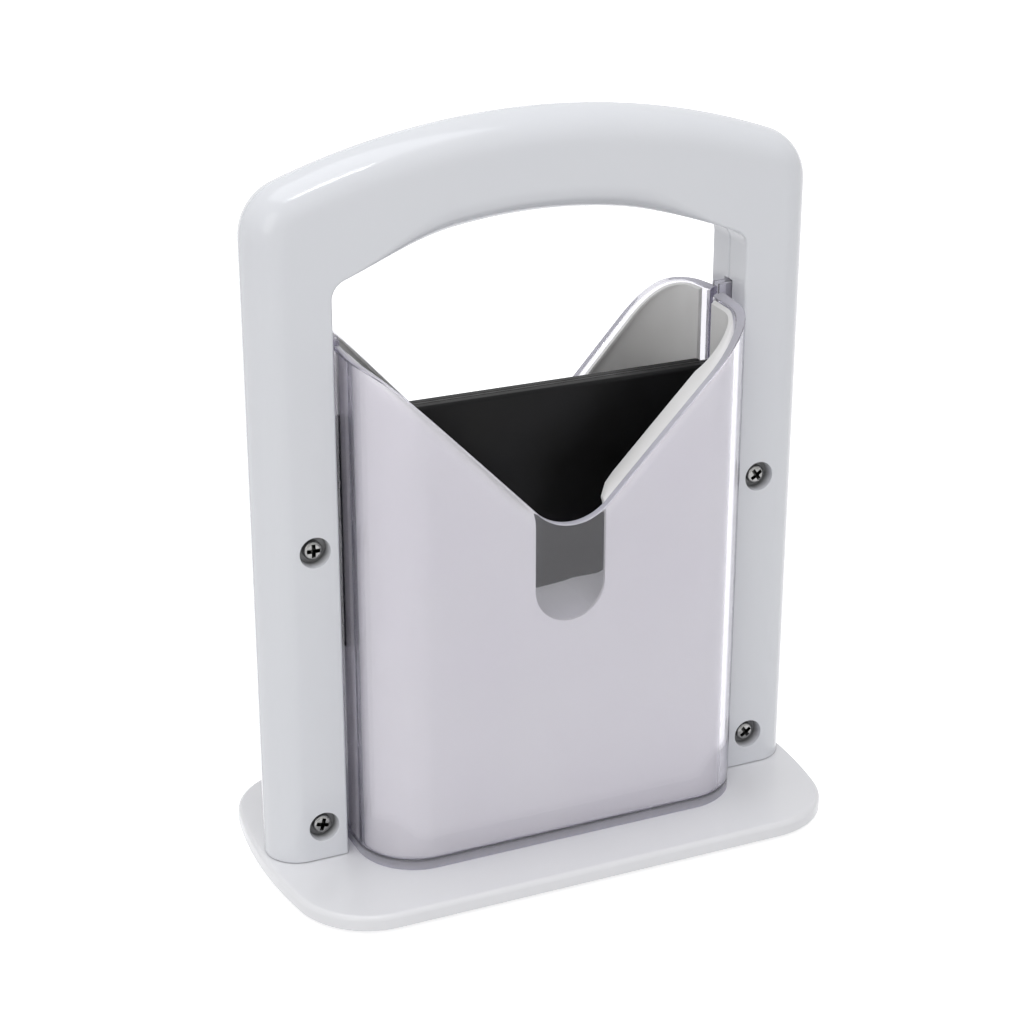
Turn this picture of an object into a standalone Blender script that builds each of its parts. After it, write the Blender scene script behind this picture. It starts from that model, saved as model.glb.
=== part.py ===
# Bagel guillotine slicer. A clear holder with white liners stands on a base plate, and an arched handle
# that carries a black blade between two wedges slides up and down on the holder's guide lips.
# Metres, +Z up. The origin is on the floor, under the middle of the base plate. X runs along the blade
# and +Y points to the back. The handle is modelled fully down, as the slicer is stored.

import math

import bmesh
import bpy
from mathutils import Vector

# Driving sizes
HOLDER_WIDTH = 0.1292  # outside, from side wall to side wall
HOLDER_DEPTH = 0.0614  # outside, from the front wall to the back wall
HOLDER_HEIGHT = 0.1667  # from the base plate to the top of the side walls
HAND_ROOM = 0.0318  # from the holder's top to the underside of the handle's arch
HANDLE_DEPTH = 0.0214  # both halves together
BASE_DEPTH = 0.100

# Fits and steps that every piece shares
SEAT_GAP = 0.0003  # between two faces that rest on each other
OVERRUN = 0.001  # how far a cut runs past the face that it opens
BITE = 0.0005  # how far an added feature sinks into the piece that it belongs to
CIRCLE_STEPS = 16
CORNER_STEPS = 8
ROUNDING_STEPS = 4
SHARP_ANGLE = math.radians(35.0)  # edges that turn more than this are shaded sharp
FLAT_ANGLE = math.radians(0.02)  # faces that turn less than this count as one plane

# Base plate
BASE_THICKNESS = 0.005
BASE_BORDER = 0.002  # how far the plate reaches past the handle's legs
BASE_END_RADIUS = 0.164  # the two ends bow out a little
BASE_END_STEPS = 3
BASE_CORNER_RADIUS = 0.025
BASE_TOP_ROUNDING = 0.0016
BASE_UNDER_CHAMFER = 0.0005
BASE_RIM = 0.003  # wall round the hollow underside
BASE_SKIN = 0.0026  # plate above the hollow
BASE_RIB = 0.0016
BASE_RIB_SPACING = 0.034  # between the two long ribs
BASE_PAD_RADIUS = 0.0085  # pads round the feet
BASE_BOSS_RADIUS = 0.0052  # pads round the screws

# Rubber feet
FOOT_RADIUS = 0.006
FOOT_STAND = 0.0015  # how far a foot holds the plate off the table
FOOT_SOCKET_DEPTH = 0.001
FOOT_INSET_X = 0.021  # from the plate's end to the foot's middle
FOOT_INSET_Y = 0.016
FOOT_EDGE = 0.0003

# Holder shells
SHELL_WALL = 0.003
HOLDER_CORNER_RADIUS = 0.0193
BLADE_SLOT_CLEARANCE = 0.0004  # each side of the blade, between the two shells
FLANGE_WIDTH = 0.012  # inward foot of the wall, which the base screws clamp
FLANGE_THICKNESS = 0.0027
FRONT_NOTCH_ANGLE = math.radians(46.0)  # slope of the notch in the front wall
BACK_NOTCH_ANGLE = math.radians(48.0)
NOTCH_DEPTH = 0.0585  # from the holder's top to the bottom of the notch
NOTCH_BOTTOM_RADIUS = 0.0164
NOTCH_STEPS = 6
SLOPE_STEPS = 4  # between the notch's bottom and the corner
TOP_FALL = 0.1  # how steeply the rim falls from the guide lips towards the corners
SHOULDER_ROUNDING = 0.0048  # softens the meeting of the notch and the rim
LIP_THICKNESS = 0.0012
LIP_ABOVE_RIM = 0.0006
LIP_CATCH_HEIGHT = 0.006  # the thicker head that stops the handle
LIP_CATCH_EXTRA = 0.0016  # how much thicker the head is than the lip
LIP_CATCH_REACH = 0.0016

# White liners
LINER_WALL = 0.0012
LINER_SETBACK = 0.0004  # from the shell's rim to the liner's edge
FRONT_LINER_END = 0.0028  # the side walls stay unlined this near to the blade
BACK_LINER_END = 0.0055
FRONT_LIP = 0.0056  # how far the liner's top edge rolls inwards along the notch
BACK_LIP = 0.0017
LIP_ROLL_HEIGHT = 0.004
LIP_ROLL_STEPS = 3
LIP_EDGE = 0.0003  # least height of the lip's inner edge, where the lip fades out
LIP_FADE_POWER = 1.5  # how the lip fades round the corners
WINDOW_WIDTH = 0.0234
WINDOW_BOTTOM_STEPS = 10
WINDOW_FLARE = 0.0015  # how far the window widens up to the rim, on each side
WINDOW_FLARE_HEIGHT = 0.0045

# Bagel cradle
CRADLE_DROP = 0.0912  # from the holder's top to the lowest point of the trough
TROUGH_RISE = 0.0297  # from the lowest point of the trough to its ends
TROUGH_SKIN = 0.0024
CRADLE_WALL = 0.0022
CRADLE_RIB_SHARES = (0.235, 0.77)  # places of the ribs, from the middle to the cradle's end
TROUGH_STEPS = 12
POCKET_STEPS = 5
EDGE_SLOT_CLEARANCE = 0.001  # each side of the cutting edge, which sinks below the trough
EDGE_SLOT_DROP = 0.012
WEDGE_SLOT_CLEARANCE = 0.0007

# Screws that hold the holder to the base
BASE_SCREW_INSET = 0.0060  # from the cradle's outer face to the screw's axis
BASE_SCREW_HEAD_RADIUS = 0.0027
BASE_SCREW_HEAD_HEIGHT = 0.0017
BASE_SCREW_SINK = 0.0024  # depth of the counterbore
BASE_SCREW_BITE = 0.008  # how far the screw goes into the cradle
CRADLE_BOSS_RADIUS = 0.0046  # reaches into the cradle's wall
CRADLE_BOSS_HEIGHT = 0.012

# Handle halves
LEG_GAP = 0.0029  # between the holder's wall and the leg
LEG_WIDTH = 0.0236
LEG_BOTTOM_GAP = 0.0004
HANDLE_WALL = 0.002
OUTER_CORNER_RADIUS = 0.017
INNER_CORNER_RADIUS = 0.006
ARCH_TOP_RADIUS = 0.234
ARCH_UNDER_RADIUS = 0.170
ARCH_HEIGHT = 0.030  # from the arch's underside to its top
ARCH_STEPS = 7  # for half of the arch
LEG_STEPS = 5
NOSE_STEPS = 6  # round the outer side of each half
LEG_EDGE_ROUNDING = 0.0008  # inner front edge, on the legs and in the corners
ARCH_EDGE_ROUNDING = 0.008  # inner front edge, along the arch
EDGE_BLEND_LENGTH = 0.034  # along the arch, over which that edge softens
SLOT_CLEARANCE = 0.0003  # each side of a guide lip
SLOT_TOP_CLEARANCE = 0.0007
STOP_ABOVE_FOOT = 0.0456  # top of the stop, which meets the lips' catches when the handle is lifted
STOP_HEIGHT = 0.004
LEG_BOTTOM_WALL = 0.0024
CAVITY_EDGE_SHARE = 0.4  # rounding inside the hollow, as a share of the rounding outside
ARCH_PIN_X = 0.032
ARCH_PIN_RADIUS = 0.0015
ARCH_PIN_LENGTH = 0.004
ARCH_SOCKET_DEPTH = 0.005

# Handle screws
SCREW_FROM_LEG_FACE = 0.0077  # from the leg's inner face to the screw's axis
LOW_SCREW_HEIGHT = 0.011  # above the feet of the legs
SCREW_HEAD_RADIUS = 0.003
SCREW_HEAD_HEIGHT = 0.0022
SCREW_HEAD_CROWN = 0.0007
SCREW_SHANK_RADIUS = 0.0015
SCREW_TIP_RADIUS = 0.0009
SCREW_TIP_LENGTH = 0.002
SCREW_BITE = 0.0065  # past the parting plane
SCREW_HOLE_CLEARANCE = 0.0004
CROSS_LENGTH = 0.0032
CROSS_WIDTH = 0.0007
CROSS_DEPTH = 0.0014
RECESS_MOUTH_RADIUS = 0.0049
RECESS_FLOOR_RADIUS = 0.0044
RECESS_DEPTH = 0.004
RECESS_WALL = 0.0015
SCREW_BOSS_RADIUS = 0.0032

# Blade
BLADE_THICKNESS = 0.0012
BLADE_HEIGHT = 0.076
BLADE_ABOVE_TROUGH = 0.0665  # from the lowest point of the trough to the blade's top
BLADE_PAST_SCREW = 0.0028
BLADE_SLANT = 0.006  # the right end of the edge is this much higher
EDGE_BEVEL_HEIGHT = 0.005
EDGE_THICKNESS = 0.0001
SCALLOP_PITCH = 0.006
SCALLOP_DEPTH = 0.0012
SCALLOP_STEPS = 4

# Wedges on both faces of the blade
WEDGE_END_CLEARANCE = 0.0013  # to the liner
WEDGE_ABOVE_EDGE = 0.0115  # from the blade's lowest point to the wedge
WEDGE_FULL_RISE = 0.040  # height over which the wedge grows to its full thickness
WEDGE_THICKNESS = 0.0031
WEDGE_THIN = 0.0006  # at its lower end
WEDGE_TOP_ROUNDING = 0.0012
PEG_RADIUS = 0.0015
PEG_LENGTH = 0.0018  # into the back wedge
PEG_FROM_END = 0.0168
PEG_DROP_HIGH = 0.010  # from the blade's top
PEG_DROP_LOW = 0.028

# Places that follow from the sizes
BASE_BOTTOM = FOOT_STAND
BASE_TOP = BASE_BOTTOM + BASE_THICKNESS
HOLDER_HALF_WIDTH = HOLDER_WIDTH / 2
HOLDER_HALF_DEPTH = HOLDER_DEPTH / 2
SHELL_BOTTOM = BASE_TOP + SEAT_GAP
HOLDER_TOP = BASE_TOP + HOLDER_HEIGHT
FLANGE_TOP = SHELL_BOTTOM + FLANGE_THICKNESS
LINER_BOTTOM = FLANGE_TOP + SEAT_GAP
LINER_OUTSIDE = SHELL_WALL + SEAT_GAP  # insets from the holder's outer wall
LINER_INSIDE = LINER_OUTSIDE + LINER_WALL
CRADLE_OUTSIDE = LINER_INSIDE + SEAT_GAP
NOTCH_CENTRE = HOLDER_TOP - NOTCH_DEPTH + NOTCH_BOTTOM_RADIUS
TROUGH_BOTTOM = HOLDER_TOP - CRADLE_DROP
LEG_INNER = HOLDER_HALF_WIDTH + LEG_GAP
LEG_OUTER = LEG_INNER + LEG_WIDTH
LEG_BOTTOM = BASE_TOP + LEG_BOTTOM_GAP
BASE_HALF_WIDTH = LEG_OUTER + BASE_BORDER
BASE_HALF_DEPTH = BASE_DEPTH / 2
HANDLE_HALF_DEPTH = HANDLE_DEPTH / 2
ARCH_UNDERSIDE = HOLDER_TOP + HAND_ROOM
HANDLE_TOP = ARCH_UNDERSIDE + ARCH_HEIGHT
BLADE_TOP = TROUGH_BOTTOM + BLADE_ABOVE_TROUGH
BLADE_BOTTOM = BLADE_TOP - BLADE_HEIGHT
BLADE_FACE = BLADE_THICKNESS / 2
WEDGE_INNER_FACE = BLADE_FACE + SEAT_GAP
WEDGE_OUTER_FACE = WEDGE_INNER_FACE + WEDGE_THICKNESS
WEDGE_BOTTOM = BLADE_BOTTOM + WEDGE_ABOVE_EDGE
WEDGE_HALF_LENGTH = HOLDER_HALF_WIDTH - LINER_INSIDE - WEDGE_END_CLEARANCE
SCREW_X = LEG_INNER + SCREW_FROM_LEG_FACE
LOW_SCREW_Z = LEG_BOTTOM + LOW_SCREW_HEIGHT
BLADE_SCREW_Z = (BLADE_TOP + BLADE_BOTTOM) / 2
SCREW_HOLE_RADIUS = SCREW_SHANK_RADIUS + SCREW_HOLE_CLEARANCE
RECESS_FLOOR = HANDLE_HALF_DEPTH - RECESS_DEPTH
LIP_TOP = HOLDER_TOP + LIP_ABOVE_RIM
LIP_NEAR = BLADE_FACE + BLADE_SLOT_CLEARANCE
LIP_FAR = LIP_NEAR + LIP_THICKNESS
SLOT_HALF = LIP_FAR + SLOT_CLEARANCE
CATCH_NEAR = LEG_INNER + HANDLE_WALL + SLOT_CLEARANCE
CATCH_FAR = CATCH_NEAR + LIP_CATCH_REACH
LIP_REACH = CATCH_NEAR + BITE
SLOT_REACH = LIP_REACH + SLOT_CLEARANCE
CATCH_BOTTOM = LIP_TOP - LIP_CATCH_HEIGHT
STOP_TOP = LEG_BOTTOM + STOP_ABOVE_FOOT
CRADLE_HALF_WIDTH = HOLDER_HALF_WIDTH - CRADLE_OUTSIDE
CRADLE_HALF_DEPTH = HOLDER_HALF_DEPTH - CRADLE_OUTSIDE
CRADLE_RIBS = [CRADLE_HALF_WIDTH * share for share in CRADLE_RIB_SHARES]
TROUGH_RADIUS = (CRADLE_HALF_WIDTH**2 + TROUGH_RISE**2) / (2 * TROUGH_RISE)
BASE_SCREW_X = sum(CRADLE_RIBS) / len(CRADLE_RIBS)
BASE_SCREW_Y = CRADLE_HALF_DEPTH - BASE_SCREW_INSET
FOOT_X = BASE_HALF_WIDTH - FOOT_INSET_X
FOOT_Y = BASE_HALF_DEPTH - FOOT_INSET_Y
ARCH_PIN_Z = HANDLE_TOP - ARCH_HEIGHT / 2

# Finishes: colour, roughness, metallic, alpha
FINISHES = {
    "handle_white": ((0.80, 0.81, 0.84), 0.22, 0.0, 1.0),
    "base_white": ((0.78, 0.79, 0.84), 0.28, 0.0, 1.0),
    "liner_white": ((0.70, 0.70, 0.72), 0.45, 0.0, 1.0),
    "cradle_white": ((0.74, 0.74, 0.76), 0.45, 0.0, 1.0),
    "clear_plastic": ((0.86, 0.86, 0.93), 0.06, 0.0, 0.30),
    "black_coating": ((0.012, 0.012, 0.014), 0.35, 0.0, 1.0),
    "black_plastic": ((0.015, 0.015, 0.017), 0.45, 0.0, 1.0),
    "screw_steel": ((0.62, 0.62, 0.62), 0.28, 1.0, 1.0),
    "foot_rubber": ((0.10, 0.10, 0.10), 0.85, 0.0, 1.0),
}


def clear_scene():
    for item in list(bpy.data.objects):
        bpy.data.objects.remove(item, do_unlink=True)


def finish(name):
    """The Principled material of one finish, made once."""
    if name in bpy.data.materials:
        return bpy.data.materials[name]
    colour, roughness, metallic, alpha = FINISHES[name]
    material = bpy.data.materials.new(name)
    material.use_nodes = True
    shader = material.node_tree.nodes["Principled BSDF"]
    shader.inputs["Base Color"].default_value = (*colour, 1.0)
    shader.inputs["Roughness"].default_value = roughness
    shader.inputs["Metallic"].default_value = metallic
    shader.inputs["Alpha"].default_value = alpha
    return material


def add_object(name, shape, material=None, parent=None):
    """Turns a bmesh into a named object and frees the bmesh."""
    mesh = bpy.data.meshes.new(name)
    shape.to_mesh(mesh)
    shape.free()
    mesh.shade_smooth()
    mesh.set_sharp_from_angle(angle=SHARP_ANGLE)
    piece = bpy.data.objects.new(name, mesh)
    bpy.context.scene.collection.objects.link(piece)
    if material:
        mesh.materials.append(finish(material))
    if parent:
        piece.parent = parent
    return piece


def boolean(piece, operation, name, shapes, solver="EXACT"):
    """Adds or cuts the shapes with one live Boolean. The shapes don't overlap each other."""
    whole = bmesh.new()
    for shape in shapes:
        part = bpy.data.meshes.new(name)
        shape.to_mesh(part)
        shape.free()
        whole.from_mesh(part)
        bpy.data.meshes.remove(part)
    tool = add_object(piece.name + "_" + name, whole)
    tool.hide_render = True
    tool.display_type = "WIRE"
    modifier = piece.modifiers.new(name, "BOOLEAN")
    modifier.operation = operation
    modifier.solver = solver
    modifier.object = tool


def loft(rings):
    """A closed solid through rings of points, with a flat cap at each end."""
    shape = bmesh.new()
    rows = [[shape.verts.new(point) for point in ring] for ring in rings]
    for low, high in zip(rows, rows[1:]):
        for index, corner in enumerate(low):
            following = (index + 1) % len(low)
            shape.faces.new((corner, low[following], high[following], high[index]))
    shape.faces.new(rows[0])
    shape.faces.new(rows[-1])
    bmesh.ops.recalc_face_normals(shape, faces=shape.faces)
    return shape


def merged_flats(shape):
    """Joins neighbouring faces that lie in one plane."""
    bmesh.ops.dissolve_limit(
        shape, angle_limit=FLAT_ANGLE, use_dissolve_boundaries=False, verts=shape.verts, edges=shape.edges
    )
    return shape


def box(low, high):
    """An upright box between two corners."""
    shape = bmesh.new()
    bmesh.ops.create_cube(shape, size=1.0)
    low, high = Vector(low), Vector(high)
    for vertex in shape.verts:
        for axis in range(3):
            middle = (low[axis] + high[axis]) / 2
            vertex.co[axis] = middle + vertex.co[axis] * (high[axis] - low[axis])
    return shape


def arc(centre_x, centre_y, radius, start, end, steps):
    """Points of an arc in a plane, both ends included; angles in radians."""
    angles = [start + (end - start) * step / steps for step in range(steps + 1)]
    return [(centre_x + radius * math.cos(a), centre_y + radius * math.sin(a)) for a in angles]


def turned_y(profile, x, z, side, steps=CIRCLE_STEPS):
    """A solid turned about an axis along Y. The profile lists (radius, distance from the plane y = 0)."""
    rings = []
    for radius, distance in profile:
        circle = arc(x, z, radius, 0.0, 2 * math.pi, steps)[:-1]
        rings.append([(px, side * distance, pz) for px, pz in circle])
    return loft(rings)


def turned_z(profile, x, y, steps=CIRCLE_STEPS):
    """A solid turned about an upright axis. The profile lists (radius, height)."""
    rings = []
    for radius, height in profile:
        circle = arc(x, y, radius, 0.0, 2 * math.pi, steps)[:-1]
        rings.append([(px, py, height) for px, py in circle])
    return loft(rings)


def four_corners(x, y):
    return [(-x, -y), (x, -y), (x, y), (-x, y)]


def mirrored_loop(quarter):
    """Closes a quarter outline, from the X axis towards the Y axis, over the other three quarters."""
    left = [(-x, y) for x, y in reversed(quarter)]
    below = [(-x, -y) for x, y in quarter[1:]]
    right = [(x, -y) for x, y in reversed(quarter[1:])]
    return quarter + left + below + right


def at_height(outline, z):
    return [(x, y, z) for x, y in outline]


# Base plate and feet


def base_outline(inset):
    end_radius = BASE_END_RADIUS - inset
    corner_radius = BASE_CORNER_RADIUS - inset
    end_centre = BASE_HALF_WIDTH - BASE_END_RADIUS
    corner_y = BASE_HALF_DEPTH - BASE_CORNER_RADIUS
    corner_x = end_centre + math.sqrt((BASE_END_RADIUS - BASE_CORNER_RADIUS) ** 2 - corner_y**2)
    turn = math.atan2(corner_y, corner_x - end_centre)
    end = arc(end_centre, 0.0, end_radius, 0.0, turn, BASE_END_STEPS)
    corner = arc(corner_x, corner_y, corner_radius, turn, math.pi / 2, CORNER_STEPS)
    return mirrored_loop(end + corner[1:])


def make_base_plate(parent):
    rings = [at_height(base_outline(BASE_UNDER_CHAMFER), BASE_BOTTOM)]
    rings.append(at_height(base_outline(0.0), BASE_BOTTOM + BASE_UNDER_CHAMFER))
    centre = BASE_TOP - BASE_TOP_ROUNDING
    for inset, height in arc(0.0, 0.0, BASE_TOP_ROUNDING, 0.0, math.pi / 2, ROUNDING_STEPS):
        rings.append(at_height(base_outline(BASE_TOP_ROUNDING - inset), centre + height))
    plate = add_object("base_plate", loft(rings), "base_white", parent)

    skin = BASE_TOP - BASE_SKIN
    hollow = [at_height(base_outline(BASE_RIM), z) for z in (BASE_BOTTOM - OVERRUN, skin)]
    boolean(plate, "DIFFERENCE", "hollow", [loft(hollow)])
    reach_x = BASE_HALF_WIDTH - BASE_RIM + BITE
    reach_y = BASE_HALF_DEPTH - BASE_RIM + BITE
    long_ribs = []
    for y in (-BASE_RIB_SPACING / 2, BASE_RIB_SPACING / 2):
        low = (-reach_x, y - BASE_RIB / 2, BASE_BOTTOM)
        long_ribs.append(box(low, (reach_x, y + BASE_RIB / 2, skin + BITE)))
    boolean(plate, "UNION", "long_ribs", long_ribs)
    cross_ribs = []
    for x in (-HOLDER_HALF_WIDTH, 0.0, HOLDER_HALF_WIDTH):
        low = (x - BASE_RIB / 2, -reach_y, BASE_BOTTOM)
        cross_ribs.append(box(low, (x + BASE_RIB / 2, reach_y, skin + BITE)))
    boolean(plate, "UNION", "cross_ribs", cross_ribs)
    pads = [
        turned_z([(BASE_PAD_RADIUS, BASE_BOTTOM), (BASE_PAD_RADIUS, skin + BITE)], x, y)
        for x, y in four_corners(FOOT_X, FOOT_Y)
    ]
    pads += [
        turned_z([(BASE_BOSS_RADIUS, BASE_BOTTOM), (BASE_BOSS_RADIUS, skin + BITE)], x, y)
        for x, y in four_corners(BASE_SCREW_X, BASE_SCREW_Y)
    ]
    boolean(plate, "UNION", "pads", pads)
    socket = FOOT_RADIUS + SEAT_GAP
    holes = [
        turned_z([(socket, BASE_BOTTOM - OVERRUN), (socket, BASE_BOTTOM + FOOT_SOCKET_DEPTH)], x, y)
        for x, y in four_corners(FOOT_X, FOOT_Y)
    ]
    seat = BASE_BOTTOM + BASE_SCREW_SINK
    head = BASE_SCREW_HEAD_RADIUS + SCREW_HOLE_CLEARANCE
    profile = [(head, BASE_BOTTOM - OVERRUN), (head, seat), (SCREW_HOLE_RADIUS, seat)]
    profile.append((SCREW_HOLE_RADIUS, BASE_TOP + OVERRUN))
    holes += [turned_z(profile, x, y) for x, y in four_corners(BASE_SCREW_X, BASE_SCREW_Y)]
    boolean(plate, "DIFFERENCE", "sockets_and_holes", holes)


def make_feet(parent):
    top = BASE_BOTTOM + FOOT_SOCKET_DEPTH - SEAT_GAP
    profile = [(FOOT_RADIUS - FOOT_EDGE, 0.0), (FOOT_RADIUS, FOOT_EDGE), (FOOT_RADIUS, top)]
    for number, (x, y) in enumerate(four_corners(FOOT_X, FOOT_Y), start=1):
        add_object(f"rubber_foot_{number}", turned_z(profile, x, y), "foot_rubber", parent)


def make_base_screws(parent):
    """Pan-head screws from below, through the plate and the shells' flanges into the cradle."""
    seat = BASE_BOTTOM + BASE_SCREW_SINK - SEAT_GAP
    tip = LINER_BOTTOM + BASE_SCREW_BITE
    profile = [
        (BASE_SCREW_HEAD_RADIUS - SCREW_HEAD_CROWN, seat - BASE_SCREW_HEAD_HEIGHT),
        (BASE_SCREW_HEAD_RADIUS, seat - BASE_SCREW_HEAD_HEIGHT + SCREW_HEAD_CROWN),
        (BASE_SCREW_HEAD_RADIUS, seat),
        (SCREW_SHANK_RADIUS, seat),
        (SCREW_SHANK_RADIUS, tip - SCREW_TIP_LENGTH),
        (SCREW_TIP_RADIUS, tip),
    ]
    for number, (x, y) in enumerate(four_corners(BASE_SCREW_X, BASE_SCREW_Y), start=1):
        screw = add_object(f"base_screw_{number}", turned_z(profile, x, y), "screw_steel", parent)
        low, high = seat - BASE_SCREW_HEAD_HEIGHT - OVERRUN, seat - BASE_SCREW_HEAD_HEIGHT + CROSS_DEPTH
        for name, half_x, half_y in cross_arms():
            arm = box((x - half_x, y - half_y, low), (x + half_x, y + half_y, high))
            boolean(screw, "DIFFERENCE", name, [arm])


def cross_arms():
    """The two arms of a cross recess, as half sizes."""
    long, short = CROSS_LENGTH / 2, CROSS_WIDTH / 2
    return (("cross_a", long, short), ("cross_b", short, long))


# Holder


def holder_path(inset, end, side):
    """Plan points of one half of the holder, from the right slot edge round to the left one."""
    centre_x = HOLDER_HALF_WIDTH - HOLDER_CORNER_RADIUS
    centre_y = HOLDER_HALF_DEPTH - HOLDER_CORNER_RADIUS
    radius = HOLDER_CORNER_RADIUS - inset
    arc_reach = (NOTCH_BOTTOM_RADIUS + LINER_SETBACK) * math.sin(notch_angle(side))
    wall_x = HOLDER_HALF_WIDTH - inset
    wall_y = HOLDER_HALF_DEPTH - inset
    right = [(wall_x, end), (wall_x, (end + centre_y) / 2)]
    right += arc(centre_x, centre_y, radius, 0.0, math.pi / 2, CORNER_STEPS)
    slope = centre_x - arc_reach
    right += [(arc_reach + slope * step / SLOPE_STEPS, wall_y) for step in range(SLOPE_STEPS - 1, 0, -1)]
    right += [(arc_reach * step / NOTCH_STEPS, wall_y) for step in range(NOTCH_STEPS, 0, -1)]
    left = [(-x, y) for x, y in reversed(right)]
    return [(x, side * y) for x, y in right + [(0.0, wall_y)] + left]


def notch_angle(side):
    return FRONT_NOTCH_ANGLE if side < 0 else BACK_NOTCH_ANGLE


def rim_height(x, y, setback):
    """Height of the holder's rim: the lower of the notch and the falling top, with a soft shoulder."""
    radius = NOTCH_BOTTOM_RADIUS + setback
    angle = notch_angle(y)
    if abs(x) < radius * math.sin(angle):
        notch = NOTCH_CENTRE - math.sqrt(radius**2 - x**2)
    else:
        notch = NOTCH_CENTRE - radius / math.cos(angle) + abs(x) * math.tan(angle)
    top = HOLDER_TOP - setback - TOP_FALL * abs(y)
    return (notch + top - math.sqrt((notch - top) ** 2 + SHOULDER_ROUNDING**2)) / 2


def make_shell(name, side, parent):
    insets = (0.0, SHELL_WALL, SHELL_WALL + FLANGE_WIDTH)
    outer, inner, foot = (holder_path(inset, LIP_NEAR, side) for inset in insets)
    rings = []
    for (ox, oy), (ix, iy), (fx, fy) in zip(outer, inner, foot):
        rings.append([
            (ox, oy, SHELL_BOTTOM),
            (ox, oy, rim_height(ox, oy, 0.0)),
            (ix, iy, rim_height(ix, iy, 0.0)),
            (ix, iy, FLANGE_TOP),
            (fx, fy, FLANGE_TOP),
            (fx, fy, SHELL_BOTTOM),
        ])
    shell = add_object(name, loft(rings), "clear_plastic", parent)
    lips = [guide_lip(direction, side) for direction in (-1, 1)]
    boolean(shell, "UNION", "guide_lips", lips)
    catches = [lip_catch(direction, side) for direction in (-1, 1)]
    boolean(shell, "UNION", "catches", catches)
    profile = [(SCREW_HOLE_RADIUS, SHELL_BOTTOM - OVERRUN), (SCREW_HOLE_RADIUS, FLANGE_TOP + OVERRUN)]
    holes = [turned_z(profile, x, side * BASE_SCREW_Y) for x in (-BASE_SCREW_X, BASE_SCREW_X)]
    boolean(shell, "DIFFERENCE", "screw_holes", holes)


def side_box(direction, side, near_x, far_x, near_y, far_y, low, high):
    """A box on one side of the holder: direction picks the left or right, side the front or back."""
    xs = sorted((direction * near_x, direction * far_x))
    ys = sorted((side * near_y, side * far_y))
    return box((xs[0], ys[0], low), (xs[1], ys[1], high))


def guide_lip(direction, side):
    """The upright lip beside the blade slot, which reaches through the slot in the handle's leg."""
    root = HOLDER_HALF_WIDTH - SHELL_WALL / 2
    return side_box(direction, side, root, LIP_REACH, LIP_NEAR, LIP_FAR, SHELL_BOTTOM, LIP_TOP)


def lip_catch(direction, side):
    """The head at the lip's top, behind the leg's wall, which the leg's stop meets at full lift."""
    far_y = LIP_FAR + LIP_CATCH_EXTRA
    return side_box(direction, side, CATCH_NEAR, CATCH_FAR, LIP_NEAR, far_y, CATCH_BOTTOM, LIP_TOP)


def wall_turn(x, y):
    """Which way the holder's wall faces at a plan point: 0 at the side walls, a quarter turn at the front."""
    past_x = abs(x) - (HOLDER_HALF_WIDTH - HOLDER_CORNER_RADIUS)
    past_y = abs(y) - (HOLDER_HALF_DEPTH - HOLDER_CORNER_RADIUS)
    return math.atan2(max(past_y, 0.0), max(past_x, 0.0)) if past_y > 0.0 else 0.0


def lip_share(x, turn):
    """Share of the full lip: it fades out round the corners and ends in a quarter circle at the window."""
    share = (turn / (math.pi / 2)) ** LIP_FADE_POWER
    past_window = min(max(abs(x) - WINDOW_WIDTH / 2, 0.0) / FRONT_LIP, 1.0)
    return share * math.sqrt(1 - (1 - past_window) ** 2)


def liner_section(x, y, side, full_lip):
    """One upright section of a liner: a plain wall whose top edge rolls inwards."""
    turn = wall_turn(x, y)
    across = (math.copysign(math.cos(turn), x), side * math.sin(turn))
    share = lip_share(x, turn)
    lip = full_lip * share
    under = LIP_EDGE + (LINER_WALL - LIP_EDGE) * share
    rows = []
    for step in range(LIP_ROLL_STEPS + 1):
        angle = math.pi / 2 * step / LIP_ROLL_STEPS
        rows.append((lip * (1 - math.cos(angle)), LIP_ROLL_HEIGHT * (1 - math.sin(angle))))
    points = []
    for start, drop, order in ((LINER_OUTSIDE, 0.0, rows), (LINER_INSIDE, under, rows[::-1])):
        for reach, setback in order:
            px, py = x - across[0] * (start + reach), y - across[1] * (start + reach)
            points.append((px, py, rim_height(px, py, LINER_SETBACK + setback) - drop))
    top = points[LIP_ROLL_STEPS + 1]
    points.insert(LIP_ROLL_STEPS + 1, (top[0], top[1], top[2] + under))
    first, last = points[0], points[-1]
    return [(first[0], first[1], LINER_BOTTOM)] + points + [(last[0], last[1], LINER_BOTTOM)]


def make_liner(name, side, end, full_lip, parent):
    rings = [liner_section(x, y, side, full_lip) for x, y in holder_path(0.0, end, side)]
    liner = add_object(name, loft(rings), "liner_white", parent)
    radius = WINDOW_WIDTH / 2
    outline = arc(0.0, TROUGH_BOTTOM + radius, radius, -math.pi, 0.0, WINDOW_BOTTOM_STEPS)
    slope_low = rim_height(radius, side * HOLDER_HALF_DEPTH, LINER_SETBACK)
    flare = [(radius, slope_low - WINDOW_FLARE_HEIGHT + WINDOW_FLARE), (radius + WINDOW_FLARE, NOTCH_CENTRE)]
    outline = [(-x, z) for x, z in reversed(flare)] + outline + flare
    inner_reach = LINER_INSIDE + FRONT_LIP + OVERRUN
    depths = (HOLDER_HALF_DEPTH - inner_reach, HOLDER_HALF_DEPTH - SHELL_WALL + OVERRUN)
    window = [[(x, side * depth, z) for x, z in outline] for depth in depths]
    boolean(liner, "DIFFERENCE", "window", [loft(window)])


def trough_height(x, below):
    """Height of the trough's surface, or of a surface the given distance under it."""
    return TROUGH_BOTTOM + TROUGH_RADIUS - math.sqrt((TROUGH_RADIUS + below) ** 2 - x**2)


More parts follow.
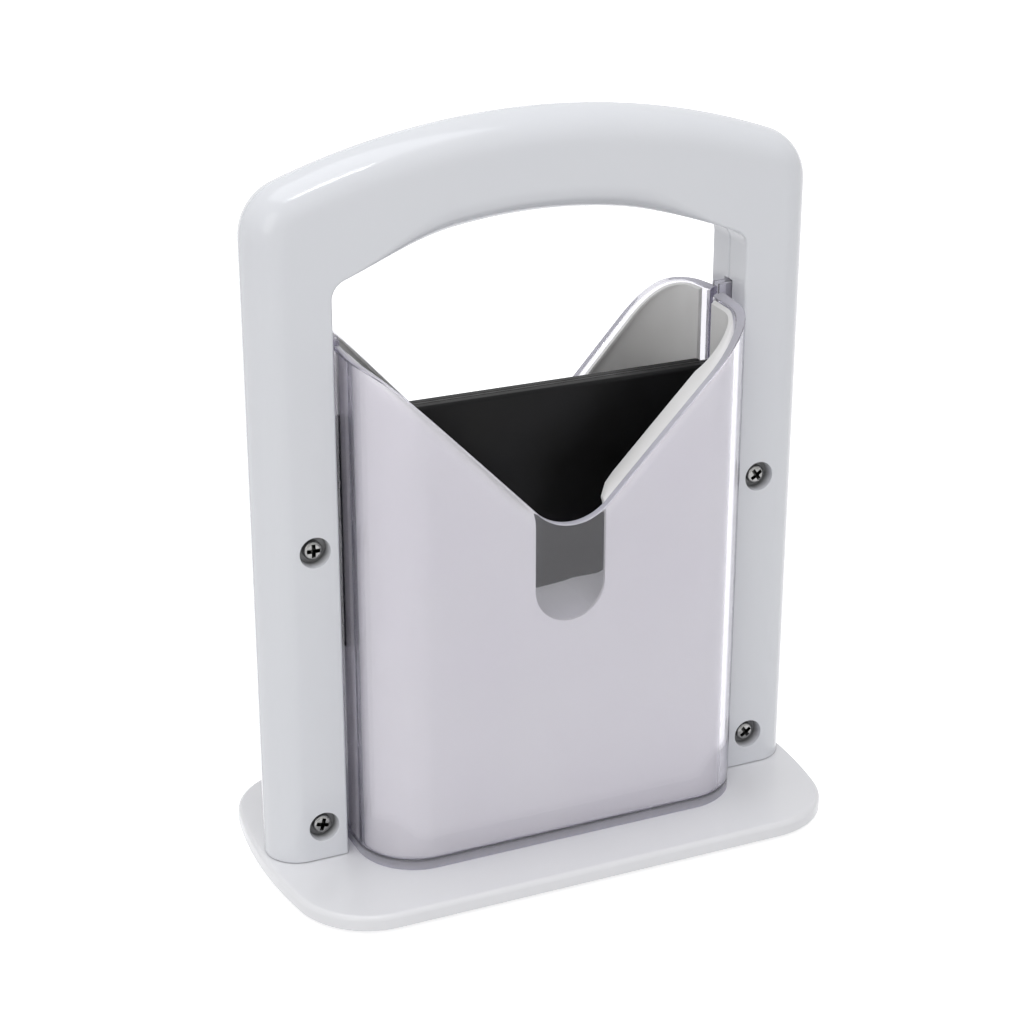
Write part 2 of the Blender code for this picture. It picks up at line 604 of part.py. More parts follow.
def cradle_outline():
    radius = HOLDER_CORNER_RADIUS - CRADLE_OUTSIDE
    centre = (CRADLE_HALF_WIDTH - radius, CRADLE_HALF_DEPTH - radius)
    corner = arc(*centre, radius, 0.0, math.pi / 2, CORNER_STEPS)
    return mirrored_loop([(CRADLE_HALF_WIDTH, 0.0)] + corner)


def cradle_pocket(low, high):
    """The hollow under the trough between two ribs, as deep as the cradle's rounded plan allows."""
    radius = HOLDER_CORNER_RADIUS - CRADLE_OUTSIDE
    corner_x, corner_y = CRADLE_HALF_WIDTH - radius, CRADLE_HALF_DEPTH - radius
    rings = []
    for step in range(POCKET_STEPS + 1):
        x = low + (high - low) * step / POCKET_STEPS
        past_corner = min(max(abs(x) - corner_x, 0.0), radius - CRADLE_WALL)
        depth = corner_y + math.sqrt((radius - CRADLE_WALL) ** 2 - past_corner**2)
        floor, roof = LINER_BOTTOM - OVERRUN, trough_height(x, TROUGH_SKIN)
        rings.append([(x, -depth, floor), (x, depth, floor), (x, depth, roof), (x, -depth, roof)])
    return loft(rings)


def make_cradle(parent):
    """The curved seat under the bagel, open below, with ribs and a slot for the blade."""
    reach = CRADLE_HALF_WIDTH + OVERRUN
    peak = trough_height(reach, 0.0) + OVERRUN
    outline = cradle_outline()
    block = loft([at_height(outline, LINER_BOTTOM), at_height(outline, peak)])
    cradle = add_object("bagel_cradle", block, "cradle_white", parent)
    xs = [reach * (2 * step / TROUGH_STEPS - 1) for step in range(TROUGH_STEPS + 1)]
    above = [(x, trough_height(x, 0.0)) for x in xs]
    above += [(reach, peak + OVERRUN), (-reach, peak + OVERRUN)]
    depth = CRADLE_HALF_DEPTH + OVERRUN
    trough = loft([[(x, y, z) for x, z in above] for y in (-depth, depth)])
    boolean(cradle, "DIFFERENCE", "trough", [trough])

    near, far = CRADLE_RIBS
    edges = [CRADLE_WALL - CRADLE_HALF_WIDTH]
    for rib in (-far, -near, near, far):
        edges += [rib - CRADLE_WALL / 2, rib + CRADLE_WALL / 2]
    edges += [CRADLE_HALF_WIDTH - CRADLE_WALL]
    pockets = [cradle_pocket(low, high) for low, high in zip(edges[::2], edges[1::2])]
    boolean(cradle, "DIFFERENCE", "pockets", pockets)

    boss_top = LINER_BOTTOM + CRADLE_BOSS_HEIGHT
    profile = [(CRADLE_BOSS_RADIUS, LINER_BOTTOM), (CRADLE_BOSS_RADIUS, boss_top)]
    bosses = [turned_z(profile, x, y) for x, y in four_corners(BASE_SCREW_X, BASE_SCREW_Y)]
    boolean(cradle, "UNION", "bosses", bosses)

    floor = TROUGH_BOTTOM - EDGE_SLOT_DROP
    edge_slot = BLADE_FACE + EDGE_SLOT_CLEARANCE
    wedge_slot = WEDGE_OUTER_FACE + WEDGE_SLOT_CLEARANCE
    wedge_floor = WEDGE_BOTTOM - WEDGE_SLOT_CLEARANCE
    half = [(edge_slot, floor), (edge_slot, wedge_floor)]
    half += [(wedge_slot, wedge_floor), (wedge_slot, peak + OVERRUN)]
    section = half + [(-y, z) for y, z in reversed(half)]
    slot = loft([[(x, y, z) for y, z in section] for x in (-reach, reach)])
    boolean(cradle, "DIFFERENCE", "blade_slot", [slot])

    hole_top = LINER_BOTTOM + BASE_SCREW_BITE + OVERRUN
    profile = [(SCREW_HOLE_RADIUS, LINER_BOTTOM - OVERRUN), (SCREW_HOLE_RADIUS, hole_top)]
    holes = [turned_z(profile, x, y) for x, y in four_corners(BASE_SCREW_X, BASE_SCREW_Y)]
    boolean(cradle, "DIFFERENCE", "screw_holes", holes)


# Handle


def handle_stations(outline_half, corner_radius, arch_radius, arch_top, bottom):
    """Points and inward normals of an n-shaped outline, from the left leg's foot to the right one."""
    arch_centre = arch_top - arch_radius
    corner_x = outline_half - corner_radius
    corner_z = arch_centre + math.sqrt((arch_radius - corner_radius) ** 2 - corner_x**2)
    turn = math.atan2(corner_z - arch_centre, corner_x)
    half = []
    for step in range(ARCH_STEPS + 1):
        angle = math.pi / 2 + (turn - math.pi / 2) * step / ARCH_STEPS
        normal = (math.cos(angle), math.sin(angle))
        half.append(((arch_radius * normal[0], arch_centre + arch_radius * normal[1]), normal))
    for step in range(1, CORNER_STEPS + 1):
        angle = turn * (CORNER_STEPS - step) / CORNER_STEPS
        normal = (math.cos(angle), math.sin(angle))
        half.append(((corner_x + corner_radius * normal[0], corner_z + corner_radius * normal[1]), normal))
    for step in range(1, LEG_STEPS + 1):
        height = corner_z + (bottom - corner_z) * step / LEG_STEPS
        half.append(((outline_half, height), (1.0, 0.0)))
    left = [((-x, z), (-nx, nz)) for (x, z), (nx, nz) in reversed(half[1:])]
    return left + half


def edge_rounding(x):
    """Radius of the handle's inner front edge: crisp on the legs, broad along the middle of the arch."""
    corner_x = LEG_INNER - INNER_CORNER_RADIUS
    share = min(max((corner_x - abs(x)) / EDGE_BLEND_LENGTH, 0.0), 1.0)
    share = share * share * (3 - 2 * share)
    return LEG_EDGE_ROUNDING + (ARCH_EDGE_ROUNDING - LEG_EDGE_ROUNDING) * share


def handle_loft(wall, bottom, parting, side, edge_share):
    """Half of the n-shaped handle, the given wall thickness inside its outer skin."""
    outer = handle_stations(LEG_OUTER, OUTER_CORNER_RADIUS, ARCH_TOP_RADIUS, HANDLE_TOP, bottom)
    inner = handle_stations(LEG_INNER, INNER_CORNER_RADIUS, ARCH_UNDER_RADIUS, ARCH_UNDERSIDE, bottom)
    nose = HANDLE_HALF_DEPTH - wall
    rings = []
    for ((ox, oz), (onx, onz)), ((ix, iz), (inx, inz)) in zip(outer, inner):
        rows = [(HANDLE_HALF_DEPTH - nose, parting, True)]
        for step in range(1, NOSE_STEPS + 1):
            angle = math.pi / 2 * step / NOSE_STEPS
            rows.append((HANDLE_HALF_DEPTH - nose * math.cos(angle), nose * math.sin(angle), True))
        edge = edge_rounding(ix) * edge_share
        for step in range(ROUNDING_STEPS + 1):
            angle = math.pi / 2 * (ROUNDING_STEPS - step) / ROUNDING_STEPS
            rows.append((wall + edge * (1 - math.cos(angle)), nose - edge * (1 - math.sin(angle)), False))
        rows.append((wall, parting, False))
        ring = []
        for inset, depth, outside in rows:
            if outside:
                ring.append((ox - onx * inset, side * depth, oz - onz * inset))
            else:
                ring.append((ix + inx * inset, side * depth, iz + inz * inset))
        rings.append(ring)
    return merged_flats(loft(rings))


def leg_slot(direction):
    """The cut in the leg's inner wall and foot for the guide lips of both shells."""
    near = LEG_INNER - OVERRUN
    xs = sorted((direction * near, direction * SLOT_REACH))
    return box((xs[0], -SLOT_HALF, LEG_BOTTOM - OVERRUN), (xs[1], SLOT_HALF, LIP_TOP + SLOT_TOP_CLEARANCE))


def screw_places():
    """Axes of the four handle screws, with how far each boss stays off the parting plane."""
    clamp = BLADE_FACE + SEAT_GAP
    meet = SEAT_GAP / 2
    places = [(-SCREW_X, BLADE_SCREW_Z, clamp), (SCREW_X, BLADE_SCREW_Z, clamp)]
    return places + [(-SCREW_X, LOW_SCREW_Z, meet), (SCREW_X, LOW_SCREW_Z, meet)]


def make_handle_half(name, side, front, parent):
    """One hollow half. The exact solver leaves an open sliver in its inner corner, so it isn't used here."""
    meet = SEAT_GAP / 2
    solver = "MANIFOLD"
    half = add_object(name, handle_loft(0.0, LEG_BOTTOM, meet, side, 1.0), "handle_white", parent)
    hollow = handle_loft(HANDLE_WALL, LEG_BOTTOM + LEG_BOTTOM_WALL, -OVERRUN, side, CAVITY_EDGE_SHARE)
    boolean(half, "DIFFERENCE", "hollow", [hollow], solver)

    skin = HANDLE_HALF_DEPTH - HANDLE_WALL / 2
    cup_radius = RECESS_MOUTH_RADIUS + RECESS_WALL
    cup_floor = RECESS_FLOOR - HANDLE_WALL
    fittings = []
    for x, z, off_plane in screw_places():
        profile = [(SCREW_BOSS_RADIUS, off_plane)]
        if front:
            profile += [(SCREW_BOSS_RADIUS, cup_floor), (cup_radius, cup_floor), (cup_radius, skin)]
        else:
            profile += [(SCREW_BOSS_RADIUS, skin)]
        fittings.append(turned_y(profile, x, z, side))
    near, far = LEG_INNER + HANDLE_WALL / 2, CATCH_FAR + SEAT_GAP
    low = STOP_TOP - STOP_HEIGHT
    for direction in (-1, 1):
        fittings.append(side_box(direction, side, near, far, SLOT_HALF, skin, low, STOP_TOP))
    for x in (-ARCH_PIN_X, ARCH_PIN_X):
        profile = [(SCREW_BOSS_RADIUS, meet), (SCREW_BOSS_RADIUS, skin)]
        if front:
            profile = [(ARCH_PIN_RADIUS, -ARCH_PIN_LENGTH), (ARCH_PIN_RADIUS, meet)] + profile
        fittings.append(turned_y(profile, x, ARCH_PIN_Z, side))
    boolean(half, "UNION", "fittings", fittings, solver)

    cuts = [leg_slot(direction) for direction in (-1, 1)]
    for x, z, _ in screw_places():
        if front:
            profile = [(SCREW_HOLE_RADIUS, -OVERRUN), (SCREW_HOLE_RADIUS, RECESS_FLOOR)]
            profile += [(RECESS_FLOOR_RADIUS, RECESS_FLOOR), (RECESS_MOUTH_RADIUS, HANDLE_HALF_DEPTH)]
            profile += [(RECESS_MOUTH_RADIUS, HANDLE_HALF_DEPTH + OVERRUN)]
        else:
            profile = [(SCREW_HOLE_RADIUS, -OVERRUN), (SCREW_HOLE_RADIUS, SCREW_BITE + OVERRUN)]
        cuts.append(turned_y(profile, x, z, side))
    if not front:
        socket = ARCH_PIN_RADIUS + SEAT_GAP
        profile = [(socket, -OVERRUN), (socket, ARCH_SOCKET_DEPTH)]
        cuts += [turned_y(profile, x, ARCH_PIN_Z, side) for x in (-ARCH_PIN_X, ARCH_PIN_X)]
    boolean(half, "DIFFERENCE", "slots_and_holes", cuts, solver)


def make_handle_screws(parent):
    seat = RECESS_FLOOR + SEAT_GAP
    top = seat + SCREW_HEAD_HEIGHT
    profile = [
        (SCREW_TIP_RADIUS, -SCREW_BITE),
        (SCREW_SHANK_RADIUS, SCREW_TIP_LENGTH - SCREW_BITE),
        (SCREW_SHANK_RADIUS, seat),
        (SCREW_HEAD_RADIUS, seat),
        (SCREW_HEAD_RADIUS, top - SCREW_HEAD_CROWN),
        (SCREW_HEAD_RADIUS - SCREW_HEAD_CROWN, top),
    ]
    for number, (x, z, _) in enumerate(screw_places(), start=1):
        screw = add_object(f"handle_screw_{number}", turned_y(profile, x, z, -1), "screw_steel", parent)
        for name, half_x, half_z in cross_arms():
            low = (x - half_x, -top - OVERRUN, z - half_z)
            arm = box(low, (x + half_x, CROSS_DEPTH - top, z + half_z))
            boolean(screw, "DIFFERENCE", name, [arm])


# Blade and wedges


def edge_height(x):
    """Height of the blade's lower edge, with its slant and its scallops."""
    half_length = SCREW_X + BLADE_PAST_SCREW
    height = BLADE_BOTTOM + BLADE_SLANT * (x + half_length) / (2 * half_length)
    if abs(x) < WEDGE_HALF_LENGTH:
        height += SCALLOP_DEPTH * abs(math.sin(math.pi * x / SCALLOP_PITCH))
    return height


def make_blade(parent):
    half_length = SCREW_X + BLADE_PAST_SCREW
    count = int(WEDGE_HALF_LENGTH / SCALLOP_PITCH) * SCALLOP_STEPS
    step = SCALLOP_PITCH / SCALLOP_STEPS
    xs = [-half_length] + [index * step for index in range(-count, count + 1)] + [half_length]
    rings = []
    for x in xs:
        edge = edge_height(x)
        bevel = edge + EDGE_BEVEL_HEIGHT
        half_edge = EDGE_THICKNESS / 2
        ring = [(-BLADE_FACE, BLADE_TOP), (-BLADE_FACE, bevel), (-half_edge, edge)]
        ring += [(half_edge, edge), (BLADE_FACE, bevel), (BLADE_FACE, BLADE_TOP)]
        rings.append([(x, y, z) for y, z in ring])
    blade = add_object("blade", loft(rings), "black_coating", parent)
    reach = BLADE_FACE + OVERRUN
    places = [(x, z, SCREW_HOLE_RADIUS) for x, z, _ in screw_places()[:2]]
    places += [(x, z, PEG_RADIUS + SCREW_HOLE_CLEARANCE) for x, z in peg_places()]
    holes = [turned_y([(radius, -reach), (radius, reach)], x, z, 1) for x, z, radius in places]
    boolean(blade, "DIFFERENCE", "holes", holes)


def peg_places():
    heights = (BLADE_TOP - PEG_DROP_HIGH, BLADE_TOP - PEG_DROP_LOW)
    peg_x = WEDGE_HALF_LENGTH - PEG_FROM_END
    return [(x, z) for x in (-peg_x, peg_x) for z in heights]


def make_wedge(name, side, with_pegs, parent):
    """The tapered plate that spreads the cut halves. The front one has pegs, the back one their holes."""
    full = WEDGE_BOTTOM + WEDGE_FULL_RISE
    section = [(WEDGE_INNER_FACE, WEDGE_BOTTOM), (WEDGE_INNER_FACE + WEDGE_THIN, WEDGE_BOTTOM)]
    section += [(WEDGE_OUTER_FACE, full)]
    centre = (WEDGE_OUTER_FACE - WEDGE_TOP_ROUNDING, BLADE_TOP - WEDGE_TOP_ROUNDING)
    section += arc(*centre, WEDGE_TOP_ROUNDING, 0.0, math.pi / 2, ROUNDING_STEPS)
    section += [(WEDGE_INNER_FACE, BLADE_TOP)]
    rings = [[(x, side * y, z) for y, z in section] for x in (-WEDGE_HALF_LENGTH, WEDGE_HALF_LENGTH)]
    wedge = add_object(name, loft(rings), "black_plastic", parent)
    tip = WEDGE_INNER_FACE + PEG_LENGTH
    if with_pegs:
        profile = [(PEG_RADIUS, -tip), (PEG_RADIUS, WEDGE_INNER_FACE + BITE)]
        pegs = [turned_y(profile, x, z, side) for x, z in peg_places()]
        boolean(wedge, "UNION", "pegs", pegs)
    else:
        radius = PEG_RADIUS + SEAT_GAP
        profile = [(radius, WEDGE_INNER_FACE - OVERRUN), (radius, tip + SEAT_GAP)]
        holes = [turned_y(profile, x, z, side) for x, z in peg_places()]
        boolean(wedge, "DIFFERENCE", "peg_holes", holes)


def add_empty(name):
    empty = bpy.data.objects.new(name, None)
    bpy.context.scene.collection.objects.link(empty)
    return empty


def main():
    clear_scene()
    holder = add_empty("holder_group")
    make_base_plate(holder)
    make_feet(holder)
    make_shell("front_shell", -1, holder)
    make_shell("back_shell", 1, holder)
    make_liner("front_liner", -1, FRONT_LINER_END, FRONT_LIP, holder)
    make_liner("back_liner", 1, BACK_LINER_END, BACK_LIP, holder)
    make_cradle(holder)
    make_base_screws(holder)

    handle = add_empty("handle_slide_axis")
    make_handle_half("handle_front", -1, True, handle)
    make_handle_half("handle_back", 1, False, handle)
    make_handle_screws(handle)
    make_blade(handle)
    make_wedge("wedge_front", -1, True, handle)
    make_wedge("wedge_back", 1, False, handle)


main()
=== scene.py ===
import math

import bmesh
import bpy
from mathutils import Matrix, Vector


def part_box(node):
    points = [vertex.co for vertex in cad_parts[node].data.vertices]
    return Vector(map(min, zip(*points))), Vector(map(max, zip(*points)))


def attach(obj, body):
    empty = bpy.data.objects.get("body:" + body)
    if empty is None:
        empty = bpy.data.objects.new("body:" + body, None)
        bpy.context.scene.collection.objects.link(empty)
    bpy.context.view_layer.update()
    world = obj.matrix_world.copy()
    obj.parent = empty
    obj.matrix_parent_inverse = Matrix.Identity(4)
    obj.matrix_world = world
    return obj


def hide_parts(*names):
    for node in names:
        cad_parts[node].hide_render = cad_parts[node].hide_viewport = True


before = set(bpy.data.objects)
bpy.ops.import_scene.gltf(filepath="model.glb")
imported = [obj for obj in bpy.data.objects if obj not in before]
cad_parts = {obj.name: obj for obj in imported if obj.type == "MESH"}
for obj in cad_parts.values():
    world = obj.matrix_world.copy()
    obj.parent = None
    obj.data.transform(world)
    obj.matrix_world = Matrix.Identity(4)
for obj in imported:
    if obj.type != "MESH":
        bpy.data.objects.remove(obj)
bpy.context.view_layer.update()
print("frame loaded:", len(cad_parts), "nodes")

# Bagel slicer: a clear holder with white liners on a base plate, and the arched handle with its black blade.
# Metres throughout, X along the blade, +Y to the back, Z up.

scene = bpy.context.scene
scene.view_settings.view_transform = "Standard"
scene.cycles.max_bounces = 16
scene.cycles.glossy_bounces = 12  # light runs a long way inside the clear walls
scene.cycles.transmission_bounces = 16
scene.cycles.caustics_reflective = False  # glints thrown by the gloss would blotch the base

halfTurn = math.pi
quarterTurn = math.pi / 2

noiseRange = {"low": 0.3, "high": 0.7, "roughness": 0.55}  # where most of a noise texture's values lie

fit = {
    "gap": 0.0003,  # between two moulded faces that rest on each other
    "overrun": 0.001,  # how far a cutter reaches past the face it opens
    "bite": 0.0005,  # how far an added feature sinks into its piece
    "sharpAngle": math.radians(35),
    "flatAngle": math.radians(0.02),
}


# Finishes

def addNode(tree, kind, settings=(), values=()):
    node = tree.nodes.new(kind)
    for key, value in dict(settings).items():
        setattr(node, key, value)
    for key, value in dict(values).items():
        node.inputs[key].default_value = value
    return node


def startMaterial(name):
    material = bpy.data.materials.new(name)
    material.use_nodes = True
    tree = material.node_tree
    spot = addNode(tree, "ShaderNodeTexCoord")
    return material, tree, tree.nodes["Principled BSDF"], spot.outputs["Object"]


def noise(tree, spot, scale, detail=2.0, stretch=(1, 1, 1)):
    # scale counts blotches per metre
    spread = addNode(tree, "ShaderNodeMapping", values={"Scale": stretch})
    tree.links.new(spot, spread.inputs["Vector"])
    cloud = addNode(tree, "ShaderNodeTexNoise", values={
        "Scale": scale, "Detail": detail, "Roughness": noiseRange["roughness"]})
    tree.links.new(spread.outputs["Vector"], cloud.inputs["Vector"])
    return cloud.outputs["Fac"]


def remap(tree, source, low, high, fromLow=noiseRange["low"], fromHigh=noiseRange["high"]):
    change = addNode(tree, "ShaderNodeMapRange", values={
        "From Min": fromLow, "From Max": fromHigh, "To Min": low, "To Max": high})
    tree.links.new(source, change.inputs["Value"])
    return change.outputs["Result"]


def twoColours(tree, source, first, second):
    blend = addNode(tree, "ShaderNodeMix", {"data_type": "RGBA"})
    blend.inputs[6].default_value = (*first, 1)
    blend.inputs[7].default_value = (*second, 1)
    tree.links.new(source, blend.inputs[0])
    return blend.outputs[2]


def calculate(tree, operation, first, second=0.0):
    # a math node; each side is a socket or a plain number
    sums = addNode(tree, "ShaderNodeMath", {"operation": operation})
    for side, value in zip(sums.inputs, (first, second)):
        if isinstance(value, (int, float)):
            side.default_value = value
        else:
            tree.links.new(value, side)
    return sums.outputs["Value"]


def separated(tree, spot):
    parts = addNode(tree, "ShaderNodeSeparateXYZ")
    tree.links.new(spot, parts.inputs["Vector"])
    return parts.outputs["X"], parts.outputs["Y"], parts.outputs["Z"]


def roughen(tree, shader, source, strength, distance):
    bump = addNode(tree, "ShaderNodeBump", values={"Strength": strength, "Distance": distance})
    tree.links.new(source, bump.inputs["Height"])
    tree.links.new(bump.outputs["Normal"], shader.inputs["Normal"])


def mouldedPlastic(name, look):
    material, tree, shader, spot = startMaterial(name)
    clouds = remap(tree, noise(tree, spot, look["cloudScale"], 3.0), 0, 1)
    tree.links.new(twoColours(tree, clouds, look["colour"], look["cloudColour"]), shader.inputs["Base Color"])
    sheen = noise(tree, spot, look["sheenScale"], 4.0)
    tree.links.new(remap(tree, sheen, *look["roughness"]), shader.inputs["Roughness"])
    grain = noise(tree, spot, look["grainScale"], 2.0)
    roughen(tree, shader, grain, look["grainStrength"], look["grainDepth"])
    shader.inputs["Specular IOR Level"].default_value = look["specular"]
    return material


def clearPlastic(name, look):
    material, tree, shader, spot = startMaterial(name)
    shader.inputs["Transmission Weight"].default_value = 1.0
    shader.inputs["IOR"].default_value = look["ior"]
    clouds = remap(tree, noise(tree, spot, look["cloudScale"]), 0, 1)
    tree.links.new(twoColours(tree, clouds, look["tint"], look["tintDeep"]), shader.inputs["Base Color"])
    haze = noise(tree, spot, look["hazeScale"], 4.0)
    tree.links.new(remap(tree, haze, *look["roughness"]), shader.inputs["Roughness"])
    flow = noise(tree, spot, look["flowScale"], 1.0, look["flowStretch"])
    roughen(tree, shader, flow, look["flowStrength"], look["flowDepth"])
    lampRay = addNode(tree, "ShaderNodeLightPath")  # lamps reach what is behind the clear wall
    seeThrough = addNode(tree, "ShaderNodeBsdfTransparent", values={"Color": (*look["lampTint"], 1)})
    milk = addNode(tree, "ShaderNodeBsdfTranslucent", values={"Color": (*look["milk"], 1)})
    cloudy = addNode(tree, "ShaderNodeMixShader", values={"Fac": look["milkShare"]})
    tree.links.new(shader.outputs["BSDF"], cloudy.inputs[1])
    tree.links.new(milk.outputs["BSDF"], cloudy.inputs[2])
    frost = addNode(tree, "ShaderNodeBsdfDiffuse", values={"Color": (*look["frost"], 1)})
    frosted = addNode(tree, "ShaderNodeMixShader")  # the foot is frosted, and a little where it faces up
    foot = remap(tree, separated(tree, spot)[2], look["frostShare"], 0, *look["frostHeights"])
    upward = separated(tree, spot.node.outputs["Normal"])[2]
    rim = remap(tree, upward, 0, look["rimShare"], *look["rimTilts"])
    tree.links.new(calculate(tree, "MAXIMUM", foot, rim), frosted.inputs[0])
    tree.links.new(cloudy.outputs["Shader"], frosted.inputs[1])
    tree.links.new(frost.outputs["BSDF"], frosted.inputs[2])
    choose = addNode(tree, "ShaderNodeMixShader")
    tree.links.new(lampRay.outputs["Is Shadow Ray"], choose.inputs[0])
    tree.links.new(frosted.outputs["Shader"], choose.inputs[1])
    tree.links.new(seeThrough.outputs["BSDF"], choose.inputs[2])
    tree.links.new(choose.outputs["Shader"], tree.nodes["Material Output"].inputs["Surface"])
    # long ways through the plastic, along rims and corners, come out darker
    depth = addNode(tree, "ShaderNodeVolumeAbsorption", values={
        "Color": (*look["depthTint"], 1), "Density": look["depthDensity"]})
    tree.links.new(depth.outputs["Volume"], tree.nodes["Material Output"].inputs["Volume"])
    return material


def turnedSteel(name, look):
    material, tree, shader, spot = startMaterial(name)
    shader.inputs["Metallic"].default_value = 1.0
    stains = remap(tree, noise(tree, spot, look["stainScale"], 3.0), 0, 1)
    tree.links.new(twoColours(tree, stains, look["colour"], look["stainColour"]), shader.inputs["Base Color"])
    marks = noise(tree, spot, look["markScale"], 3.0, look["markStretch"])
    tree.links.new(remap(tree, marks, *look["roughness"]), shader.inputs["Roughness"])
    roughen(tree, shader, marks, look["markStrength"], look["markDepth"])
    return material


finishLooks = {
    "handleWhite": {
        "colour": (0.80, 0.812, 0.845), "cloudColour": (0.785, 0.798, 0.835), "cloudScale": 18,
        "roughness": (0.10, 0.14), "sheenScale": 60, "specular": 0.5,
        "grainScale": 2600, "grainStrength": 0.10, "grainDepth": 0.00002,
    },
    "baseWhite": {
        "colour": (0.88, 0.88, 0.90), "cloudColour": (0.87, 0.87, 0.89), "cloudScale": 22,
        "roughness": (0.20, 0.25), "sheenScale": 60, "specular": 0.5,
        "grainScale": 1200, "grainStrength": 0.05, "grainDepth": 0.00002,
    },
    "linerWhite": {
        "colour": (0.785, 0.78, 0.775), "cloudColour": (0.77, 0.765, 0.76), "cloudScale": 30,
        "roughness": (0.38, 0.5), "sheenScale": 80, "specular": 0.5,
        "grainScale": 2400, "grainStrength": 0.2, "grainDepth": 0.00003,
    },
    "cradleWhite": {
        "colour": (0.76, 0.755, 0.77), "cloudColour": (0.74, 0.735, 0.755), "cloudScale": 30,
        "roughness": (0.4, 0.52), "sheenScale": 80, "specular": 0.5,
        "grainScale": 2400, "grainStrength": 0.2, "grainDepth": 0.00003,
    },
    "blackCoating": {
        "colour": (0.006, 0.006, 0.007), "cloudColour": (0.010, 0.010, 0.011), "cloudScale": 90,
        "roughness": (0.32, 0.46), "sheenScale": 240, "specular": 0.2,
        "grainScale": 5200, "grainStrength": 0.3, "grainDepth": 0.00002,
    },
    "blackPlastic": {
        "colour": (0.006, 0.006, 0.006), "cloudColour": (0.009, 0.009, 0.010), "cloudScale": 60,
        "roughness": (0.36, 0.46), "sheenScale": 120, "specular": 0.14,
        "grainScale": 2600, "grainStrength": 0.25, "grainDepth": 0.00003,
    },
    "footRubber": {
        "colour": (0.085, 0.085, 0.085), "cloudColour": (0.11, 0.11, 0.11), "cloudScale": 160,
        "roughness": (0.78, 0.92), "sheenScale": 300, "specular": 0.3,
        "grainScale": 2800, "grainStrength": 0.5, "grainDepth": 0.00005,
    },
}

finishes = {name: mouldedPlastic(name, look) for name, look in finishLooks.items()}
finishes["clearPlastic"] = clearPlastic("clearPlastic", {
    "tint": (0.975, 0.97, 0.99), "tintDeep": (0.965, 0.955, 0.985), "cloudScale": 25, "ior": 1.49,
    "roughness": (0.02, 0.05), "hazeScale": 90,
    "flowScale": 60, "flowStretch": (1, 1, 0.35), "flowStrength": 0.12, "flowDepth": 0.0001,
    "lampTint": (0.93, 0.925, 0.94), "milk": (0.78, 0.76, 0.87), "milkShare": 0.06,
    "depthTint": (0.60, 0.58, 0.68), "depthDensity": 40,
    "rimShare": 0.55, "rimTilts": (0.3, 0.6),  # upward share of the surface's normal
    "frost": (0.76, 0.75, 0.82), "frostShare": 0.36, "frostHeights": (0.0095, 0.0110),
})
for name in ("screwSteel", "crossSteel"):
    finishes[name] = turnedSteel(name, {
        "colour": (0.42, 0.415, 0.41), "stainColour": (0.25, 0.25, 0.245), "stainScale": 700,
        "roughness": (0.18, 0.26), "markScale": 1500, "markStretch": (1, 1, 2.5),
        "markStrength": 0.25, "markDepth": 0.00003,
    })
print("finishes made:", len(finishes))


# Shape tools

def arcPoints(centreX, centreY, radius, start, end, steps):
    angles = [start + (end - start) * step / steps for step in range(steps + 1)]
    return [(centreX + radius * math.cos(a), centreY + radius * math.sin(a)) for a in angles]


def loft(rings):
    # a closed solid through rings of points, with a flat cap at each end
    shape = bmesh.new()
    rows = [[shape.verts.new(point) for point in ring] for ring in rings]
    for low, high in zip(rows, rows[1:]):
        for index, corner in enumerate(low):
            following = (index + 1) % len(low)
            shape.faces.new((corner, low[following], high[following], high[index]))
    shape.faces.new(rows[0])
    shape.faces.new(rows[-1])
    bmesh.ops.recalc_face_normals(shape, faces=shape.faces)
    return shape


def turnedUpright(profile, x, y, steps=40):
    # a solid turned about an upright axis, from (radius, height) pairs
    rings = []
    for radius, height in profile:
        circle = arcPoints(x, y, radius, 0, 2 * halfTurn, steps)[:-1]
        rings.append([(px, py, height) for px, py in circle])
    return loft(rings)


def turnedAcross(profile, x, z, side, steps=40):
    # a solid turned about an axis along Y, from (radius, distance from the middle plane) pairs
    rings = []
    for radius, distance in profile:
        circle = arcPoints(x, z, radius, 0, 2 * halfTurn, steps)[:-1]
        rings.append([(px, side * distance, pz) for px, pz in circle])
    return loft(rings)


def block(low, high, edge=0, steps=3):
    shape = bmesh.new()
    bmesh.ops.create_cube(shape, size=1)
    for vertex in shape.verts:
        for axis in range(3):
            vertex.co[axis] = (low[axis] + high[axis]) / 2 + vertex.co[axis] * (high[axis] - low[axis])
    if edge:
        bmesh.ops.bevel(
            shape, geom=list(shape.edges), offset=edge, segments=steps, profile=0.5, affect="EDGES")
    return shape


def fourCorners(x, y):
    return [(-x, -y), (x, -y), (x, y), (-x, y)]


def mergedFlats(shape):
    bmesh.ops.dissolve_limit(
        shape, angle_limit=fit["flatAngle"], use_dissolve_boundaries=False,
        verts=shape.verts, edges=shape.edges)
    return shape


def newPiece(name, shape, finish=None):
    mesh = bpy.data.meshes.new(name)
    shape.to_mesh(mesh)
    shape.free()
    piece = bpy.data.objects.new(name, mesh)
    scene.collection.objects.link(piece)
    if finish:
        mesh.materials.append(finishes[finish])
    return piece


def combine(piece, operation, shapes, solver="EXACT"):
    # joins or cuts the shapes and keeps the resulting mesh
    whole = bmesh.new()
    for shape in shapes:
        part = bpy.data.meshes.new("part")
        shape.to_mesh(part)
        shape.free()
        whole.from_mesh(part)
        bpy.data.meshes.remove(part)
    tool = newPiece("tool", whole)
    modifier = piece.modifiers.new(operation, "BOOLEAN")
    modifier.operation = operation
    modifier.solver = solver
    modifier.object = tool
    graph = bpy.context.evaluated_depsgraph_get()
    made = bpy.data.meshes.new_from_object(piece.evaluated_get(graph))
    piece.modifiers.clear()
    piece.data = made
    bpy.data.objects.remove(tool)


